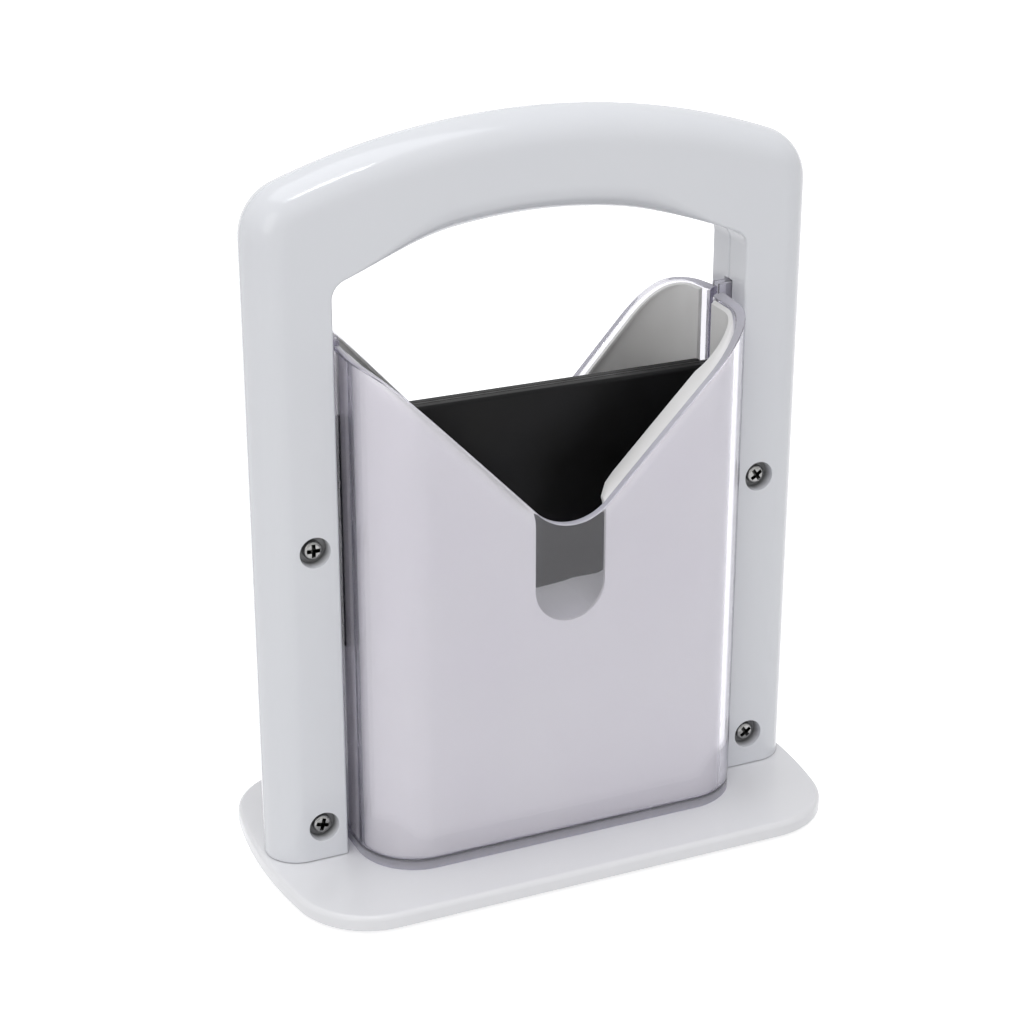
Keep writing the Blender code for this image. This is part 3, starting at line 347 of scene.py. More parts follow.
def place(piece, body, node):
    # smooth faces with crisp edges, then onto its body in place of its CAD node
    piece.data.shade_smooth()
    piece.data.set_sharp_from_angle(angle=fit["sharpAngle"])
    level = piece.modifiers.new("evenShading", "WEIGHTED_NORMAL")
    level.keep_sharp = True
    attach(piece, body)
    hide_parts(node)
    return piece


# Places taken from the frame

plateLow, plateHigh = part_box("base_plate")
shellLow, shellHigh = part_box("front_shell")
linerLow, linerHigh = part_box("front_liner")
handleLow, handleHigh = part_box("handle_front")
footLow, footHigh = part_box("rubber_foot_1")
bladeLow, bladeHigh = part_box("blade")
wedgeLow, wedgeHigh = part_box("wedge_back")


# Base plate

plate = {
    "endRadius": 0.164,  # the two ends bow out a little
    "endSteps": 10,
    "cornerRadius": 0.025,
    "cornerSteps": 26,
    "topRounding": 0.0016,
    "roundingSteps": 7,
    "underChamfer": 0.0005,
    "rim": 0.003,  # wall round the hollow underside
    "skin": 0.0026,
    "rib": 0.0016,
    "longRibs": (-0.017, 0.017),
    "crossRibs": (-0.0646, 0, 0.0646),
    "pad": 0.0085,
    "boss": 0.0052,
    "socketDepth": 0.001,
    "screw": (0.03005, 0.0199),
    "screwHole": 0.0019,
    "headHole": 0.0031,
    "headSink": 0.0024,
}


def plateOutline(inset):
    halfWidth, halfDepth = plateHigh.x, plateHigh.y
    endRadius, cornerRadius = plate["endRadius"], plate["cornerRadius"]
    endCentre = halfWidth - endRadius
    cornerY = halfDepth - cornerRadius
    cornerX = endCentre + math.sqrt((endRadius - cornerRadius) ** 2 - cornerY ** 2)
    swing = math.atan2(cornerY, cornerX - endCentre)
    end = arcPoints(endCentre, 0, endRadius - inset, 0, swing, plate["endSteps"])
    corner = arcPoints(cornerX, cornerY, cornerRadius - inset, swing, quarterTurn, plate["cornerSteps"])
    quarter = end + corner[1:]
    left = [(-x, y) for x, y in reversed(quarter)]
    below = [(-x, -y) for x, y in quarter[1:]]
    right = [(x, -y) for x, y in reversed(quarter[1:])]
    return quarter + left + below + right


def makePlate():
    bottom, top = plateLow.z, plateHigh.z
    level = lambda inset, z: [(x, y, z) for x, y in plateOutline(inset)]
    rings = [level(plate["underChamfer"], bottom), level(0, bottom + plate["underChamfer"])]
    rounding = plate["topRounding"]
    for reach, rise in arcPoints(0, 0, rounding, 0, quarterTurn, plate["roundingSteps"]):
        rings.append(level(rounding - reach, top - rounding + rise))
    piece = newPiece("basePlate", loft(rings), "baseWhite")
    ceiling = top - plate["skin"]
    combine(piece, "DIFFERENCE", [loft([level(plate["rim"], z) for z in (bottom - fit["overrun"], ceiling)])])
    reachX = plateHigh.x - plate["rim"] + fit["bite"]
    reachY = plateHigh.y - plate["rim"] + fit["bite"]
    half = plate["rib"] / 2
    joined = ceiling + fit["bite"]
    combine(piece, "UNION", [
        block((-reachX, y - half, bottom), (reachX, y + half, joined)) for y in plate["longRibs"]])
    combine(piece, "UNION", [
        block((x - half, -reachY, bottom), (x + half, reachY, joined)) for x in plate["crossRibs"]])
    footX, footY = -(footLow.x + footHigh.x) / 2, -(footLow.y + footHigh.y) / 2
    footRadius = (footHigh.x - footLow.x) / 2
    pads = [turnedUpright([(plate["pad"], bottom), (plate["pad"], joined)], x, y)
            for x, y in fourCorners(footX, footY)]
    pads += [turnedUpright([(plate["boss"], bottom), (plate["boss"], joined)], x, y)
             for x, y in fourCorners(*plate["screw"])]
    combine(piece, "UNION", pads)
    socket = footRadius + fit["gap"]
    holes = [turnedUpright([(socket, bottom - fit["overrun"]), (socket, bottom + plate["socketDepth"])], x, y)
             for x, y in fourCorners(footX, footY)]
    seat = bottom + plate["headSink"]
    profile = [(plate["headHole"], bottom - fit["overrun"]), (plate["headHole"], seat)]
    profile += [(plate["screwHole"], seat), (plate["screwHole"], top + fit["overrun"])]
    holes += [turnedUpright(profile, x, y) for x, y in fourCorners(*plate["screw"])]
    combine(piece, "DIFFERENCE", holes)
    return place(piece, "holder", "base_plate")


makePlate()
print("base plate made")


# Holder: clear shells and white liners share one plan and one rim line

holder = {
    "halfWidth": 0.0646,
    "halfDepth": -shellLow.y,
    "cornerRadius": 0.0193,
    "cornerSteps": 22,
    "sideSteps": 3,
    "slopeSteps": 12,  # between the notch's bottom and the corner
    "notchSteps": 14,
    "frontNotchAngle": math.radians(46),
    "backNotchAngle": math.radians(48),
    "notchRadius": 0.0164,
    "notchDepth": 0.0585,  # from the holder's top to the bottom of the notch
    "top": 0.1732,
    "topFall": 0.1,  # the rim falls from the guide lips towards the corners
    "shoulder": 0.0048,  # softens the meeting of the notch and the rim
}

shell = {
    "wall": 0.003,
    "end": 0.001,  # the blade slot between the two shells
    "rimRounding": 0.0007,
    "roundingSteps": 5,
    "footEdge": 0.0004,
    "flangeWidth": 0.012,
    "flangeTop": 0.0095,
    "flangeFillet": 0.0008,
    "filletSteps": 3,
    "holeSteps": 24,
    "lipThickness": 0.0012,
    "lipReach": 0.0703,
    "lipEdge": 0.0003,
    "catchNear": 0.0698,
    "catchFar": 0.0714,
    "catchHalf": 0.0038,
    "catchHeight": 0.006,
    "catchEdge": 0.0005,
}

liner = {
    "outside": 0.0033,  # insets from the holder's outer wall
    "inside": 0.0045,
    "setback": 0.0004,
    "frontEnd": 0.0028,
    "backEnd": 0.0055,
    "frontLip": 0.0056,  # how far the top edge rolls inwards along the notch
    "backLip": 0.0017,
    "rollHeight": 0.004,
    "rollSteps": 8,
    "lipEdge": 0.0003,
    "fadePower": 1.5,
    "windowWidth": 0.0234,
    "windowBottom": 0.082,
    "windowSteps": 28,
    "windowFlare": 0.0015,
    "flareHeight": 0.0045,
}

notchCentre = holder["top"] - holder["notchDepth"] + holder["notchRadius"]


def notchAngle(side):
    return holder["frontNotchAngle"] if side < 0 else holder["backNotchAngle"]


def holderPath(inset, end, side):
    # plan points of one half of the holder, from the right slot edge round to the left one
    centreX = holder["halfWidth"] - holder["cornerRadius"]
    centreY = holder["halfDepth"] - holder["cornerRadius"]
    arcReach = (holder["notchRadius"] + liner["setback"]) * math.sin(notchAngle(side))
    wallX, wallY = holder["halfWidth"] - inset, holder["halfDepth"] - inset
    sides = holder["sideSteps"]
    right = [(wallX, end + (centreY - end) * step / sides) for step in range(sides)]
    right += arcPoints(
        centreX, centreY, holder["cornerRadius"] - inset, 0, quarterTurn, holder["cornerSteps"])
    slope, count = centreX - arcReach, holder["slopeSteps"]
    right += [(arcReach + slope * step / count, wallY) for step in range(count - 1, 0, -1)]
    count = holder["notchSteps"]
    right += [(arcReach * step / count, wallY) for step in range(count, 0, -1)]
    left = [(-x, y) for x, y in reversed(right)]
    return [(x, side * y) for x, y in right + [(0, wallY)] + left]


def rimHeight(x, y, setback):
    # the lower of the notch and the falling top, with a soft shoulder
    radius = holder["notchRadius"] + setback
    angle = notchAngle(y)
    if abs(x) < radius * math.sin(angle):
        notch = notchCentre - math.sqrt(radius ** 2 - x ** 2)
    else:
        notch = notchCentre - radius / math.cos(angle) + abs(x) * math.tan(angle)
    top = holder["top"] - setback - holder["topFall"] * abs(y)
    return (notch + top - math.sqrt((notch - top) ** 2 + holder["shoulder"] ** 2)) / 2


def shellProfile():
    # (inset, how the height is found, value) from the foot, up over the rounded rim and down to the flange
    wall, edge, foot = shell["wall"], shell["rimRounding"], shell["footEdge"]
    bottom, steps = shellLow.z, shell["roundingSteps"]
    profile = [(foot, None, bottom), (0, None, bottom + foot)]
    curve = [(edge * (1 - math.cos(a)), edge * (1 - math.sin(a)))
             for a in (quarterTurn * step / steps for step in range(steps + 1))]
    profile += [(inset, "rim", setback) for inset, setback in curve]
    profile += [(wall - inset, "rim", setback) for inset, setback in reversed(curve)]
    fillet = shell["flangeFillet"]
    for reach, drop in arcPoints(fillet, fillet, fillet, halfTurn, 3 * quarterTurn, shell["filletSteps"]):
        profile.append((wall + reach, None, shell["flangeTop"] + drop))
    far = wall + shell["flangeWidth"]
    return profile + [(far, None, shell["flangeTop"]), (far, None, bottom)]


def sideBlock(direction, side, nearX, farX, nearY, farY, low, high, edge):
    xs = sorted((direction * nearX, direction * farX))
    ys = sorted((side * nearY, side * farY))
    return block((xs[0], ys[0], low), (xs[1], ys[1], high), edge)


def makeShell(name, side, node):
    profile = shellProfile()
    paths = [holderPath(inset, shell["end"], side) for inset, kind, value in profile]
    rings = []
    for points in zip(*paths):
        ring = []
        for (x, y), (inset, kind, value) in zip(points, profile):
            ring.append((x, y, rimHeight(x, y, value) if kind else value))
        rings.append(ring)
    piece = newPiece(name, loft(rings), "clearPlastic")
    top, far = shellHigh.z, shell["end"] + shell["lipThickness"]
    lips = [sideBlock(direction, side, holder["halfWidth"] - shell["wall"] / 2, shell["lipReach"],
                      shell["end"], far, shellLow.z, top, shell["lipEdge"]) for direction in (-1, 1)]
    combine(piece, "UNION", lips)
    catches = [sideBlock(direction, side, shell["catchNear"], shell["catchFar"], shell["end"],
                         shell["catchHalf"], top - shell["catchHeight"], top, shell["catchEdge"])
               for direction in (-1, 1)]
    combine(piece, "UNION", catches)
    screwX, screwY = plate["screw"]
    hole = [(plate["screwHole"], z)
            for z in (shellLow.z - fit["overrun"], shell["flangeTop"] + fit["overrun"])]
    combine(piece, "DIFFERENCE", [
        turnedUpright(hole, x, side * screwY, shell["holeSteps"]) for x in (-screwX, screwX)])
    return place(piece, "holder", node)


def wallFacing(x, y):
    # 0 at the side walls, a quarter turn at the front and back
    pastX = abs(x) - (holder["halfWidth"] - holder["cornerRadius"])
    pastY = abs(y) - (holder["halfDepth"] - holder["cornerRadius"])
    return math.atan2(max(pastY, 0), max(pastX, 0)) if pastY > 0 else 0


def linerSection(x, y, side, fullLip):
    # one upright section of a liner: a plain wall whose top edge rolls inwards
    facing = wallFacing(x, y)
    across = (math.copysign(math.cos(facing), x), side * math.sin(facing))
    share = (facing / quarterTurn) ** liner["fadePower"]
    pastWindow = min(max(abs(x) - liner["windowWidth"] / 2, 0) / liner["frontLip"], 1)
    share *= math.sqrt(1 - (1 - pastWindow) ** 2)
    lip = fullLip * share
    under = liner["lipEdge"] + (liner["inside"] - liner["outside"] - liner["lipEdge"]) * share
    rows = []
    for step in range(liner["rollSteps"] + 1):
        angle = quarterTurn * step / liner["rollSteps"]
        rows.append((lip * (1 - math.cos(angle)), liner["rollHeight"] * (1 - math.sin(angle))))
    points = []
    for start, drop, order in ((liner["outside"], 0, rows), (liner["inside"], under, rows[::-1])):
        for reach, setback in order:
            px, py = x - across[0] * (start + reach), y - across[1] * (start + reach)
            points.append((px, py, rimHeight(px, py, liner["setback"] + setback) - drop))
    turnOver = liner["rollSteps"] + 1
    top = points[turnOver]
    points.insert(turnOver, (top[0], top[1], top[2] + under))
    first, last = points[0], points[-1]
    return [(first[0], first[1], linerLow.z)] + points + [(last[0], last[1], linerLow.z)]


def makeLiner(name, side, end, fullLip, node):
    rings = [linerSection(x, y, side, fullLip) for x, y in holderPath(0, end, side)]
    piece = newPiece(name, loft(rings), "linerWhite")
    radius = liner["windowWidth"] / 2
    outline = arcPoints(0, liner["windowBottom"] + radius, radius, -halfTurn, 0, liner["windowSteps"])
    slopeLow = rimHeight(radius, side * holder["halfDepth"], liner["setback"])
    wide = radius + liner["windowFlare"]
    flare = [(radius, slopeLow - liner["flareHeight"] + liner["windowFlare"]), (wide, notchCentre)]
    outline = [(-x, z) for x, z in reversed(flare)] + outline + flare
    reach = liner["inside"] + liner["frontLip"] + fit["overrun"]
    depths = (holder["halfDepth"] - reach, holder["halfDepth"] - shell["wall"] + fit["overrun"])
    combine(piece, "DIFFERENCE", [loft([[(x, side * depth, z) for x, z in outline] for depth in depths])])
    return place(piece, "holder", node)


makeShell("frontShell", -1, "front_shell")
makeShell("backShell", 1, "back_shell")
print("clear shells made")
makeLiner("frontLiner", -1, liner["frontEnd"], liner["frontLip"], "front_liner")
makeLiner("backLiner", 1, liner["backEnd"], liner["backLip"], "back_liner")
print("liners made")


# Handle

handle = {
    "legInner": 0.0675,
    "outerCorner": 0.017,
    "innerCorner": 0.006,
    "archTopRadius": 0.234,
    "archUnderRadius": 0.170,
    "archUnderside": 0.205,
    "archSteps": 24,
    "cornerSteps": 16,
    "legSteps": 12,
    "noseSteps": 14,  # round the outer side of each half
    "edgeSteps": 8,
    "legEdge": 0.0008,  # rounding of the inner front edge, on the legs and in the corners
    "archEdge": 0.008,  # and along the arch
    "edgeBlend": 0.034,  # along the arch, over which that edge softens
    "partingEdge": 0.0003,
    "wall": 0.002,
    "footWall": 0.0024,
    "hollowEdgeShare": 0.4,
    "slotHalf": 0.0025,
    "slotReach": 0.0706,
    "slotTop": 0.1745,
    "stopTop": 0.0525,
    "stopHeight": 0.004,
    "stopFar": 0.0717,
    "pin": (0.032, 0.220),
    "pinRadius": 0.0015,
    "pinLength": 0.004,
    "pinSocket": 0.005,
}

handleScrew = {
    "x": 0.0752,
    "heights": (0.1105, 0.0179),
    "clamp": 0.0009,  # bosses beside the blade stay off the middle plane this far
    "holeRadius": 0.0019,
    "boss": 0.0032,
    "recessMouth": 0.0049,
    "recessFloor": 0.0044,
    "recessDepth": 0.004,
    "recessEdge": 0.00025,
    "recessWall": 0.0015,
    "shank": 0.0015,
    "tip": 0.0009,
    "tipLength": 0.002,
    "reach": 0.0065,
    "head": 0.003,
    "headHeight": 0.0022,
    "headCrown": 0.0009,
    "headEdge": 0.0002,
    "domeShare": 0.55,  # of the head's radius that the dome takes
    "domeRiseShare": 0.94,
    "domeSteps": 8,
    "flatShare": 0.2,
    "steps": 48,  # round each screw and its recess
    "crossLength": 0.0044,
    "crossWidth": 0.0013,
    "crossMouthShare": 1.05,
    "crossFloorShare": 0.5,
    "crossDepth": 0.0018,
    "crossTurns": [math.radians(angle) for angle in (0, 35, -15, 35)],
    # painted shade on the recess walls round each screw
    "recessShade": {
        "reach": 0.0054, "depths": (0.0008, 0.0036), "colour": (0.12, 0.118, 0.115), "share": 0.75,
    },
    # painted shade in the cross slot of each screw head
    "crossShade": {"reach": 0.0025, "depths": (0.0003, 0.0006), "colour": (0.02, 0.02, 0.018), "share": 0.9},
}


def handleStations(outlineHalf, cornerRadius, archRadius, archTop, bottom):
    # points and inward normals of an n-shaped outline, from the left leg's foot to the right one
    archCentre = archTop - archRadius
    cornerX = outlineHalf - cornerRadius
    cornerZ = archCentre + math.sqrt((archRadius - cornerRadius) ** 2 - cornerX ** 2)
    swing = math.atan2(cornerZ - archCentre, cornerX)
    half = []
    for step in range(handle["archSteps"] + 1):
        angle = quarterTurn + (swing - quarterTurn) * step / handle["archSteps"]
        normal = (math.cos(angle), math.sin(angle))
        half.append(((archRadius * normal[0], archCentre + archRadius * normal[1]), normal))
    for step in range(1, handle["cornerSteps"] + 1):
        angle = swing * (handle["cornerSteps"] - step) / handle["cornerSteps"]
        normal = (math.cos(angle), math.sin(angle))
        half.append(((cornerX + cornerRadius * normal[0], cornerZ + cornerRadius * normal[1]), normal))
    for step in range(1, handle["legSteps"] + 1):
        half.append(((outlineHalf, cornerZ + (bottom - cornerZ) * step / handle["legSteps"]), (1, 0)))
    left = [((-x, z), (-nx, nz)) for (x, z), (nx, nz) in reversed(half[1:])]
    return left + half


def edgeRounding(x):
    # crisp on the legs, broad along the middle of the arch
    cornerX = handle["legInner"] - handle["innerCorner"]
    share = min(max((cornerX - abs(x)) / handle["edgeBlend"], 0), 1)
    share = share * share * (3 - 2 * share)
    return handle["legEdge"] + (handle["archEdge"] - handle["legEdge"]) * share


def handleLoft(wall, bottom, parting, side, edgeShare, partingEdge):
    halfDepth = -handleLow.y
    outer = handleStations(handleHigh.x, handle["outerCorner"], handle["archTopRadius"], handleHigh.z, bottom)
    inner = handleStations(
        handle["legInner"], handle["innerCorner"], handle["archUnderRadius"], handle["archUnderside"], bottom)
    nose = halfDepth - wall
    rings = []
    for ((ox, oz), (onx, onz)), ((ix, iz), (inx, inz)) in zip(outer, inner):
        rows = [(wall + partingEdge, parting, True)]
        for step in range(handle["noseSteps"] + 1):
            angle = quarterTurn * step / handle["noseSteps"]
            depth = nose * math.sin(angle)
            if depth > parting + partingEdge / 2:
                rows.append((halfDepth - nose * math.cos(angle), depth, True))
            elif step == 0:
                rows.append((wall, parting + partingEdge, True))
        edge = edgeRounding(ix) * edgeShare
        for step in range(handle["edgeSteps"] + 1):
            angle = quarterTurn * (handle["edgeSteps"] - step) / handle["edgeSteps"]
            rows.append((wall + edge * (1 - math.cos(angle)), nose - edge * (1 - math.sin(angle)), False))
        if partingEdge:
            rows.append((wall, parting + partingEdge, False))
        rows.append((wall + partingEdge, parting, False))
        ring = []
        for inset, depth, outside in rows:
            if outside:
                ring.append((ox - onx * inset, side * depth, oz - onz * inset))
            else:
                ring.append((ix + inx * inset, side * depth, iz + inz * inset))
        rings.append(ring)
    return mergedFlats(loft(rings))


def screwPlaces():
    meet = fit["gap"] / 2
    high, low = handleScrew["heights"]
    x, clamp = handleScrew["x"], handleScrew["clamp"]
    return [(-x, high, clamp), (x, high, clamp), (-x, low, meet), (x, low, meet)]


def handleFittings(side, front):
    # screw bosses and cups, the stops and the pins of the arch, all inside the hollow
    meet, wall, halfDepth = fit["gap"] / 2, handle["wall"], -handleLow.y
    skin = halfDepth - wall / 2
    cup = handleScrew["recessMouth"] + handleScrew["recessWall"]
    cupFloor = halfDepth - handleScrew["recessDepth"] - wall
    boss = handleScrew["boss"]
    shapes = []
    for x, z, offPlane in screwPlaces():
        profile = [(boss, offPlane)]
        profile += [(boss, cupFloor), (cup, cupFloor), (cup, skin)] if front else [(boss, skin)]
        shapes.append(turnedAcross(profile, x, z, side))
    near, stopTop = handle["legInner"] + wall / 2, handle["stopTop"]
    for direction in (-1, 1):
        shapes.append(sideBlock(direction, side, near, handle["stopFar"], handle["slotHalf"], skin,
                                stopTop - handle["stopHeight"], stopTop, 0))
    pinX, pinZ = handle["pin"]
    for x in (-pinX, pinX):
        profile = [(boss, meet), (boss, skin)]
        if front:
            profile = [(handle["pinRadius"], -handle["pinLength"]), (handle["pinRadius"], meet)] + profile
        shapes.append(turnedAcross(profile, x, pinZ, side))
    return shapes


def handleCuts(side, front):
    halfDepth, over = -handleLow.y, fit["overrun"]
    floor, edge = halfDepth - handleScrew["recessDepth"], handleScrew["recessEdge"]
    slot = handle["slotHalf"]
    cuts = []
    for direction in (-1, 1):
        xs = sorted((direction * (handle["legInner"] - over), direction * handle["slotReach"]))
        cuts.append(block((xs[0], -slot, handleLow.z - over), (xs[1], slot, handle["slotTop"])))
    hole, mouth = handleScrew["holeRadius"], handleScrew["recessMouth"]
    for x, z, offPlane in screwPlaces():
        profile = [(hole, -over), (hole, handleScrew["reach"] + over)]
        if front:
            profile = [(hole, -over), (hole, floor), (handleScrew["recessFloor"], floor)]
            profile += [(mouth - edge / 2, halfDepth - 2 * edge), (mouth, halfDepth - edge / 2)]
            profile += [(mouth + edge, halfDepth), (mouth + edge, halfDepth + over)]
        cuts.append(turnedAcross(profile, x, z, side, handleScrew["steps"]))
    if not front:
        pinX, pinZ = handle["pin"]
        socket = handle["pinRadius"] + fit["gap"]
        profile = [(socket, -over), (socket, handle["pinSocket"])]
        cuts += [turnedAcross(profile, x, pinZ, side) for x in (-pinX, pinX)]
    return cuts


def makeHandleHalf(name, side, front, node):
    meet = fit["gap"] / 2
    outside = handleLoft(0, handleLow.z, meet, side, 1, handle["partingEdge"])
    piece = newPiece(name, outside, "handleWhite")
    hollow = handleLoft(handle["wall"], handleLow.z + handle["footWall"], -fit["overrun"], side,
                        handle["hollowEdgeShare"], 0)
    combine(piece, "DIFFERENCE", [hollow], "MANIFOLD")
    combine(piece, "UNION", handleFittings(side, front), "MANIFOLD")
    combine(piece, "DIFFERENCE", handleCuts(side, front), "MANIFOLD")
    return place(piece, "handle", node)


def shadeRecesses(material, face, shade):
    # painted shade: darkens what lies deeper than the face, round each screw, in place of the shade that
    # falls into the recesses
    tree = material.node_tree
    shader = tree.nodes["Principled BSDF"]
    plain = shader.inputs["Base Color"].links[0].from_socket
    x, y, z = separated(tree, addNode(tree, "ShaderNodeTexCoord").outputs["Object"])
    across = calculate(tree, "SUBTRACT", calculate(tree, "ABSOLUTE", x), handleScrew["x"])
    across = calculate(tree, "MULTIPLY", across, across)
    far = []
    for height in handleScrew["heights"]:
        up = calculate(tree, "SUBTRACT", z, height)
        far.append(calculate(tree, "ADD", across, calculate(tree, "MULTIPLY", up, up)))
    near = calculate(tree, "LESS_THAN", calculate(tree, "MINIMUM", *far), shade["reach"] ** 2)
    near = calculate(tree, "MULTIPLY", near, calculate(tree, "LESS_THAN", y, 0))  # the front half only
    low, high = (depth - face for depth in shade["depths"])
    amount = calculate(tree, "MULTIPLY", near, remap(tree, y, 0, shade["share"], low, high))
    blend = twoColours(tree, amount, (0, 0, 0), shade["colour"])
    tree.links.new(plain, blend.node.inputs[6])
    tree.links.new(blend, shader.inputs["Base Color"])


def crossCutter(x, z, faceY, depth, turn):
    # a tapered cross recess, wider at the mouth and turned as the screw was left
    long, short = handleScrew["crossLength"] / 2, handleScrew["crossWidth"] / 2
    outline = [(long, -short), (long, short), (short, short), (short, long),
               (-short, long), (-short, short), (-long, short), (-long, -short),
               (-short, -short), (-short, -long), (short, -long), (short, -short)]
    mouth, floor = handleScrew["crossMouthShare"], handleScrew["crossFloorShare"]
    rings = []
    for share, y in ((mouth, faceY - fit["bite"]), (1, faceY), (floor, faceY + depth)):
        rings.append([(x + px * share, y, z + pz * share) for px, pz in outline])
    cutter = loft(rings)
    bmesh.ops.rotate(cutter, cent=(x, 0, z), matrix=Matrix.Rotation(-turn, 3, "Y"), verts=cutter.verts)
    return cutter


def makeHandleScrews():
    halfDepth = -handleLow.y
    seat = halfDepth - handleScrew["recessDepth"] + fit["gap"]
    top, head = seat + handleScrew["headHeight"], handleScrew["head"]
    crown = handleScrew["headCrown"]
    profile = [(handleScrew["tip"], -handleScrew["reach"])]
    shank, edge = handleScrew["shank"], handleScrew["headEdge"]
    profile += [(shank, handleScrew["tipLength"] - handleScrew["reach"]), (shank, seat)]
    profile += [(head - edge, seat), (head, seat + edge)]
    steps, rise = handleScrew["domeSteps"], handleScrew["domeRiseShare"]
    dome = head * handleScrew["domeShare"]
    for step in range(steps + 1):  # a pan head: upright side, then a dome that flattens towards the middle
        angle = quarterTurn * step / steps
        profile.append((head - dome * (1 - math.cos(angle)), top - crown + crown * math.sin(angle) * rise))
    profile.append((head * handleScrew["flatShare"], top))
    for number, (x, z, offPlane) in enumerate(screwPlaces(), start=1):
        turned = turnedAcross(profile, x, z, -1, handleScrew["steps"])
        piece = newPiece(f"handleScrew{number}", turned, "crossSteel")
        cross = crossCutter(x, z, -top, handleScrew["crossDepth"], handleScrew["crossTurns"][number - 1])
        combine(piece, "DIFFERENCE", [cross], "MANIFOLD")
        place(piece, "handle", f"handle_screw_{number}")
    # painted shade in the screws' cross slots
    shadeRecesses(finishes["crossSteel"], top, handleScrew["crossShade"])


makeHandleHalf("handleFront", -1, True, "handle_front")
makeHandleHalf("handleBack", 1, False, "handle_back")
makeHandleScrews()
# painted shade on the handle's screw recesses
shadeRecesses(finishes["handleWhite"], -handleLow.y, handleScrew["recessShade"])
print("handle made")


# Wedges: tapered black plates on both faces of the blade

wedge = {
    "innerFace": 0.0009,
    "outerFace": 0.004,
    "thin": 0.0006,
    "fullHeight": 0.124,  # the wedge grows to its full thickness up to here
    "topRounding": 0.0012,
    "endRounding": 0.0008,
    "steps": 8,
    "endSteps": 5,
    "peg": 0.0015,
    "pegSteps": 24,
    "pegTip": 0.0027,
    "pegs": (0.042, (0.1385, 0.1205)),
}


def makeWedge(name, side, node):
    bottom, top, halfLength = wedgeLow.z, wedgeHigh.z, wedgeHigh.x
    inner, outer = wedge["innerFace"], wedge["outerFace"]
    rounding, ending = wedge["topRounding"], wedge["endRounding"]
    rings = []
    angles = [quarterTurn * step / wedge["endSteps"] for step in range(wedge["endSteps"] + 1)]
    stations = [ending * (1 - math.cos(angle)) for angle in angles]
    shares = [1 - ending * (1 - math.sin(angle)) / (outer - inner) for angle in angles]
    places = [(-halfLength + d, s) for d, s in zip(stations, shares)]
    places += [(halfLength - d, s) for d, s in reversed(list(zip(stations, shares)))]
    for x, share in places:
        reach = inner + (outer - inner) * share
        section = [(inner, bottom), (inner + wedge["thin"] * share, bottom), (reach, wedge["fullHeight"])]
        section += arcPoints(reach - rounding, top - rounding, rounding, 0, quarterTurn, wedge["steps"])
        section.append((inner, top))
        rings.append([(x, side * y, z) for y, z in section])
    piece = newPiece(name, loft(rings), "blackPlastic")
    pegX, heights = wedge["pegs"]
    spots = [(x, z) for x in (-pegX, pegX) for z in heights]
    if side < 0:
        profile = [(wedge["peg"], -wedge["pegTip"]), (wedge["peg"], inner + fit["bite"])]
        combine(piece, "UNION", [turnedAcross(profile, x, z, side, wedge["pegSteps"]) for x, z in spots])
    else:
        radius = wedge["peg"] + fit["gap"]
        profile = [(radius, inner - fit["overrun"]), (radius, wedge["pegTip"] + fit["gap"])]
        combine(piece, "DIFFERENCE", [turnedAcross(profile, x, z, side, wedge["pegSteps"]) for x, z in spots])
    return place(piece, "handle", node)


makeWedge("wedgeFront", -1, "wedge_front")
makeWedge("wedgeBack", 1, "wedge_back")
print("wedges made")


# CAD pieces that keep their own mesh and get a finish

keptFinishes = {
    "bagel_cradle": "cradleWhite", "blade": "blackCoating",
    "base_screw_1": "screwSteel", "base_screw_2": "screwSteel",
    "base_screw_3": "screwSteel", "base_screw_4": "screwSteel",
    "rubber_foot_1": "footRubber", "rubber_foot_2": "footRubber",
    "rubber_foot_3": "footRubber", "rubber_foot_4": "footRubber",
}
for node, finish in keptFinishes.items():
    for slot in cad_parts[node].material_slots:
        slot.material = finishes[finish]
print("finishes given to", len(keptFinishes), "CAD pieces")


# Floor, light and camera

studio = {
    "floorSize": 6,
    "floorColour": (0.86, 0.86, 0.87),
    "floorRoughness": 0.9,
    "floorGlow": 0.7,
    "ambientLow": (0.465, 0.465, 0.465),  # soft room light, at the horizon
    "ambientHigh": (0.52, 0.52, 0.52),  # and overhead
    "backdrop": (1, 1, 1),
}

lamps = {
    "top": {
        "at": (-0.2, -0.1, 1.5), "aim": (0, 0, 0.1), "size": (1.2, 1.0),
        "power": 7.4, "colour": (0.95, 0.97, 1),
    },
    "edge": {
        "at": (-0.08, -0.86, 1.75), "aim": (-0.06, 0, 0.2), "size": (0.3, 0.16),
        "power": 2.4, "colour": (1, 1, 1),
    },
    "frontLeft": {
        "at": (-1.4, -1.3, 0.9), "aim": (0, 0, 0.1), "size": (1.0, 1.2),
        "power": 5.2, "colour": (1, 0.985, 0.95),
    },
}

view = {
    "at": (-0.286637, -0.619243, 0.388638),
    "azimuth": math.radians(-24.332),
    "elevation": math.radians(22.433),
    "roll": math.radians(0.03),
    "focal": 2365.253,  # in pixels of the 1024 pixel frame
    "frameWidth": 1024,
    "clipStart": 0.01,
}


def seenDirectly(tree):
    # 1 for what the camera sees, straight, mirrored or through glass
    path = addNode(tree, "ShaderNodeLightPath")
    first = addNode(tree, "ShaderNodeMath", {"operation": "MAXIMUM"})
    second = addNode(tree, "ShaderNodeMath", {"operation": "MAXIMUM"})
    tree.links.new(path.outputs["Is Camera Ray"], first.inputs[0])
    tree.links.new(path.outputs["Is Glossy Ray"], first.inputs[1])
    tree.links.new(first.outputs["Value"], second.inputs[0])
    tree.links.new(path.outputs["Is Transmission Ray"], second.inputs[1])
    return second.outputs["Value"]


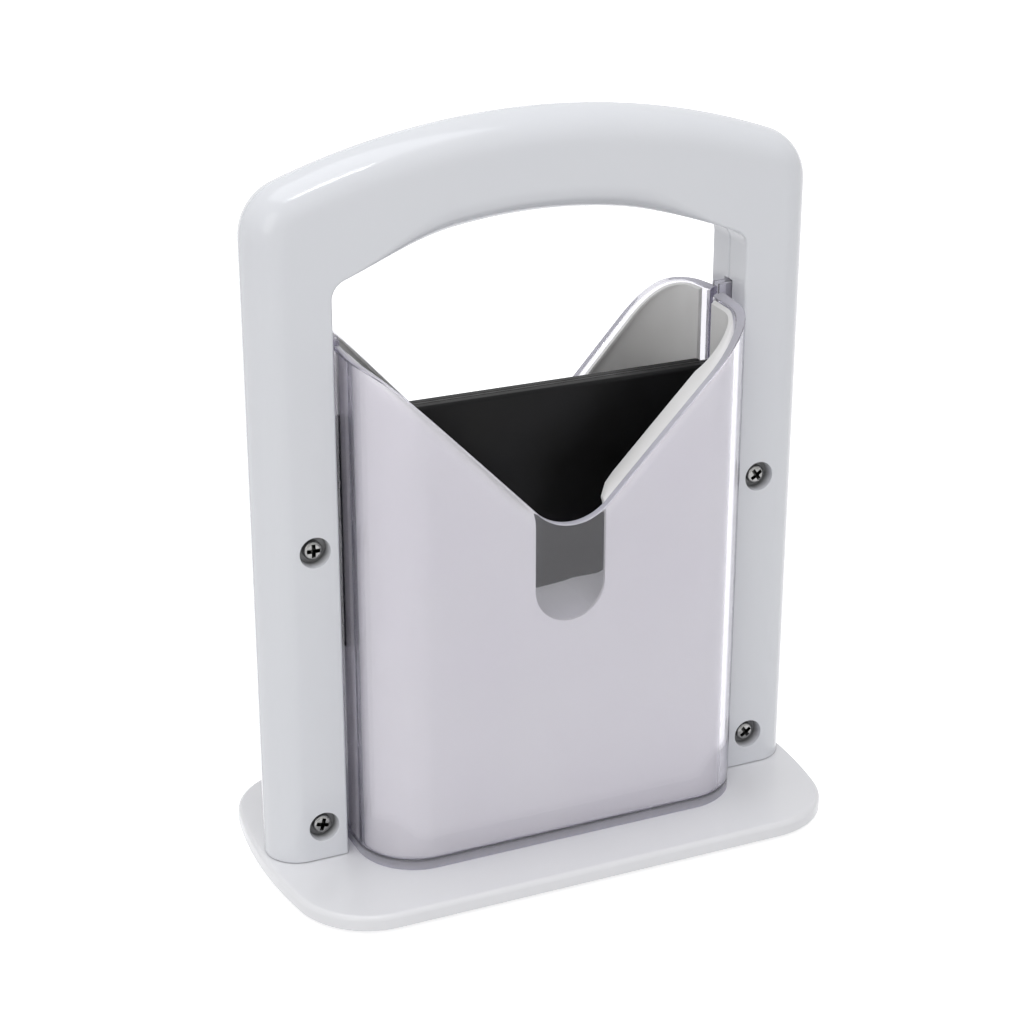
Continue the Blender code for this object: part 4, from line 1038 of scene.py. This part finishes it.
def makeWorld():
    world = bpy.data.worlds.new("studio")
    world.use_nodes = True
    tree = world.node_tree
    ambient = tree.nodes["Background"]
    sky = addNode(tree, "ShaderNodeTexCoord")
    parts = addNode(tree, "ShaderNodeSeparateXYZ")
    tree.links.new(sky.outputs["Generated"], parts.inputs["Vector"])
    rise = remap(tree, parts.outputs["Z"], 0, 1, 0, 1)
    light = twoColours(tree, rise, studio["ambientLow"], studio["ambientHigh"])
    tree.links.new(light, ambient.inputs["Color"])
    backdrop = addNode(tree, "ShaderNodeBackground", values={"Color": (*studio["backdrop"], 1)})
    choose = addNode(tree, "ShaderNodeMixShader")
    tree.links.new(seenDirectly(tree), choose.inputs[0])
    tree.links.new(ambient.outputs["Background"], choose.inputs[1])
    tree.links.new(backdrop.outputs["Background"], choose.inputs[2])
    tree.links.new(choose.outputs["Shader"], tree.nodes["World Output"].inputs["Surface"])
    scene.world = world


def makeFloor():
    half = studio["floorSize"] / 2
    shape = bmesh.new()
    shape.faces.new([shape.verts.new((x, y, 0)) for x, y in fourCorners(half, half)])
    floor = newPiece("floor", shape)
    material, tree, shader, spot = startMaterial("floorPaper")
    shader.inputs["Base Color"].default_value = (*studio["floorColour"], 1)
    shader.inputs["Roughness"].default_value = studio["floorRoughness"]
    glow = addNode(tree, "ShaderNodeEmission", values={"Color": (1, 1, 1, 1)})
    amount = addNode(tree, "ShaderNodeMath", {"operation": "MULTIPLY"})
    amount.inputs[1].default_value = studio["floorGlow"]
    tree.links.new(seenDirectly(tree), amount.inputs[0])
    tree.links.new(amount.outputs["Value"], glow.inputs["Strength"])
    both = addNode(tree, "ShaderNodeAddShader")
    tree.links.new(shader.outputs["BSDF"], both.inputs[0])
    tree.links.new(glow.outputs["Emission"], both.inputs[1])
    tree.links.new(both.outputs["Shader"], tree.nodes["Material Output"].inputs["Surface"])
    floor.data.materials.append(material)


def makeLamp(name, look):
    light = bpy.data.lights.new(name, "AREA")
    light.shape = "RECTANGLE"
    light.size, light.size_y = look["size"]
    light.energy = look["power"]
    light.color = look["colour"]
    lamp = bpy.data.objects.new(name, light)
    scene.collection.objects.link(lamp)
    lamp.location = look["at"]
    lamp.rotation_euler = (Vector(look["aim"]) - Vector(look["at"])).to_track_quat("-Z", "Y").to_euler()


def makeCamera():
    lens = bpy.data.cameras.new("camera")
    lens.lens = view["focal"] * lens.sensor_width / view["frameWidth"]
    lens.clip_start = view["clipStart"]
    camera = bpy.data.objects.new("camera", lens)
    scene.collection.objects.link(camera)
    azimuth, elevation = view["azimuth"], view["elevation"]
    back = Vector((math.sin(azimuth) * math.cos(elevation), -math.cos(azimuth) * math.cos(elevation),
                   math.sin(elevation)))
    right = Vector((math.cos(azimuth), math.sin(azimuth), 0))
    up = back.cross(right)
    roll = view["roll"]
    across = right * math.cos(roll) + up * math.sin(roll)
    camera.matrix_world = Matrix((across, back.cross(across), back)).transposed().to_4x4()
    camera.location = view["at"]
    scene.camera = camera


makeWorld()
makeFloor()
for name, look in lamps.items():
    makeLamp(name, look)
makeCamera()
print("studio made")
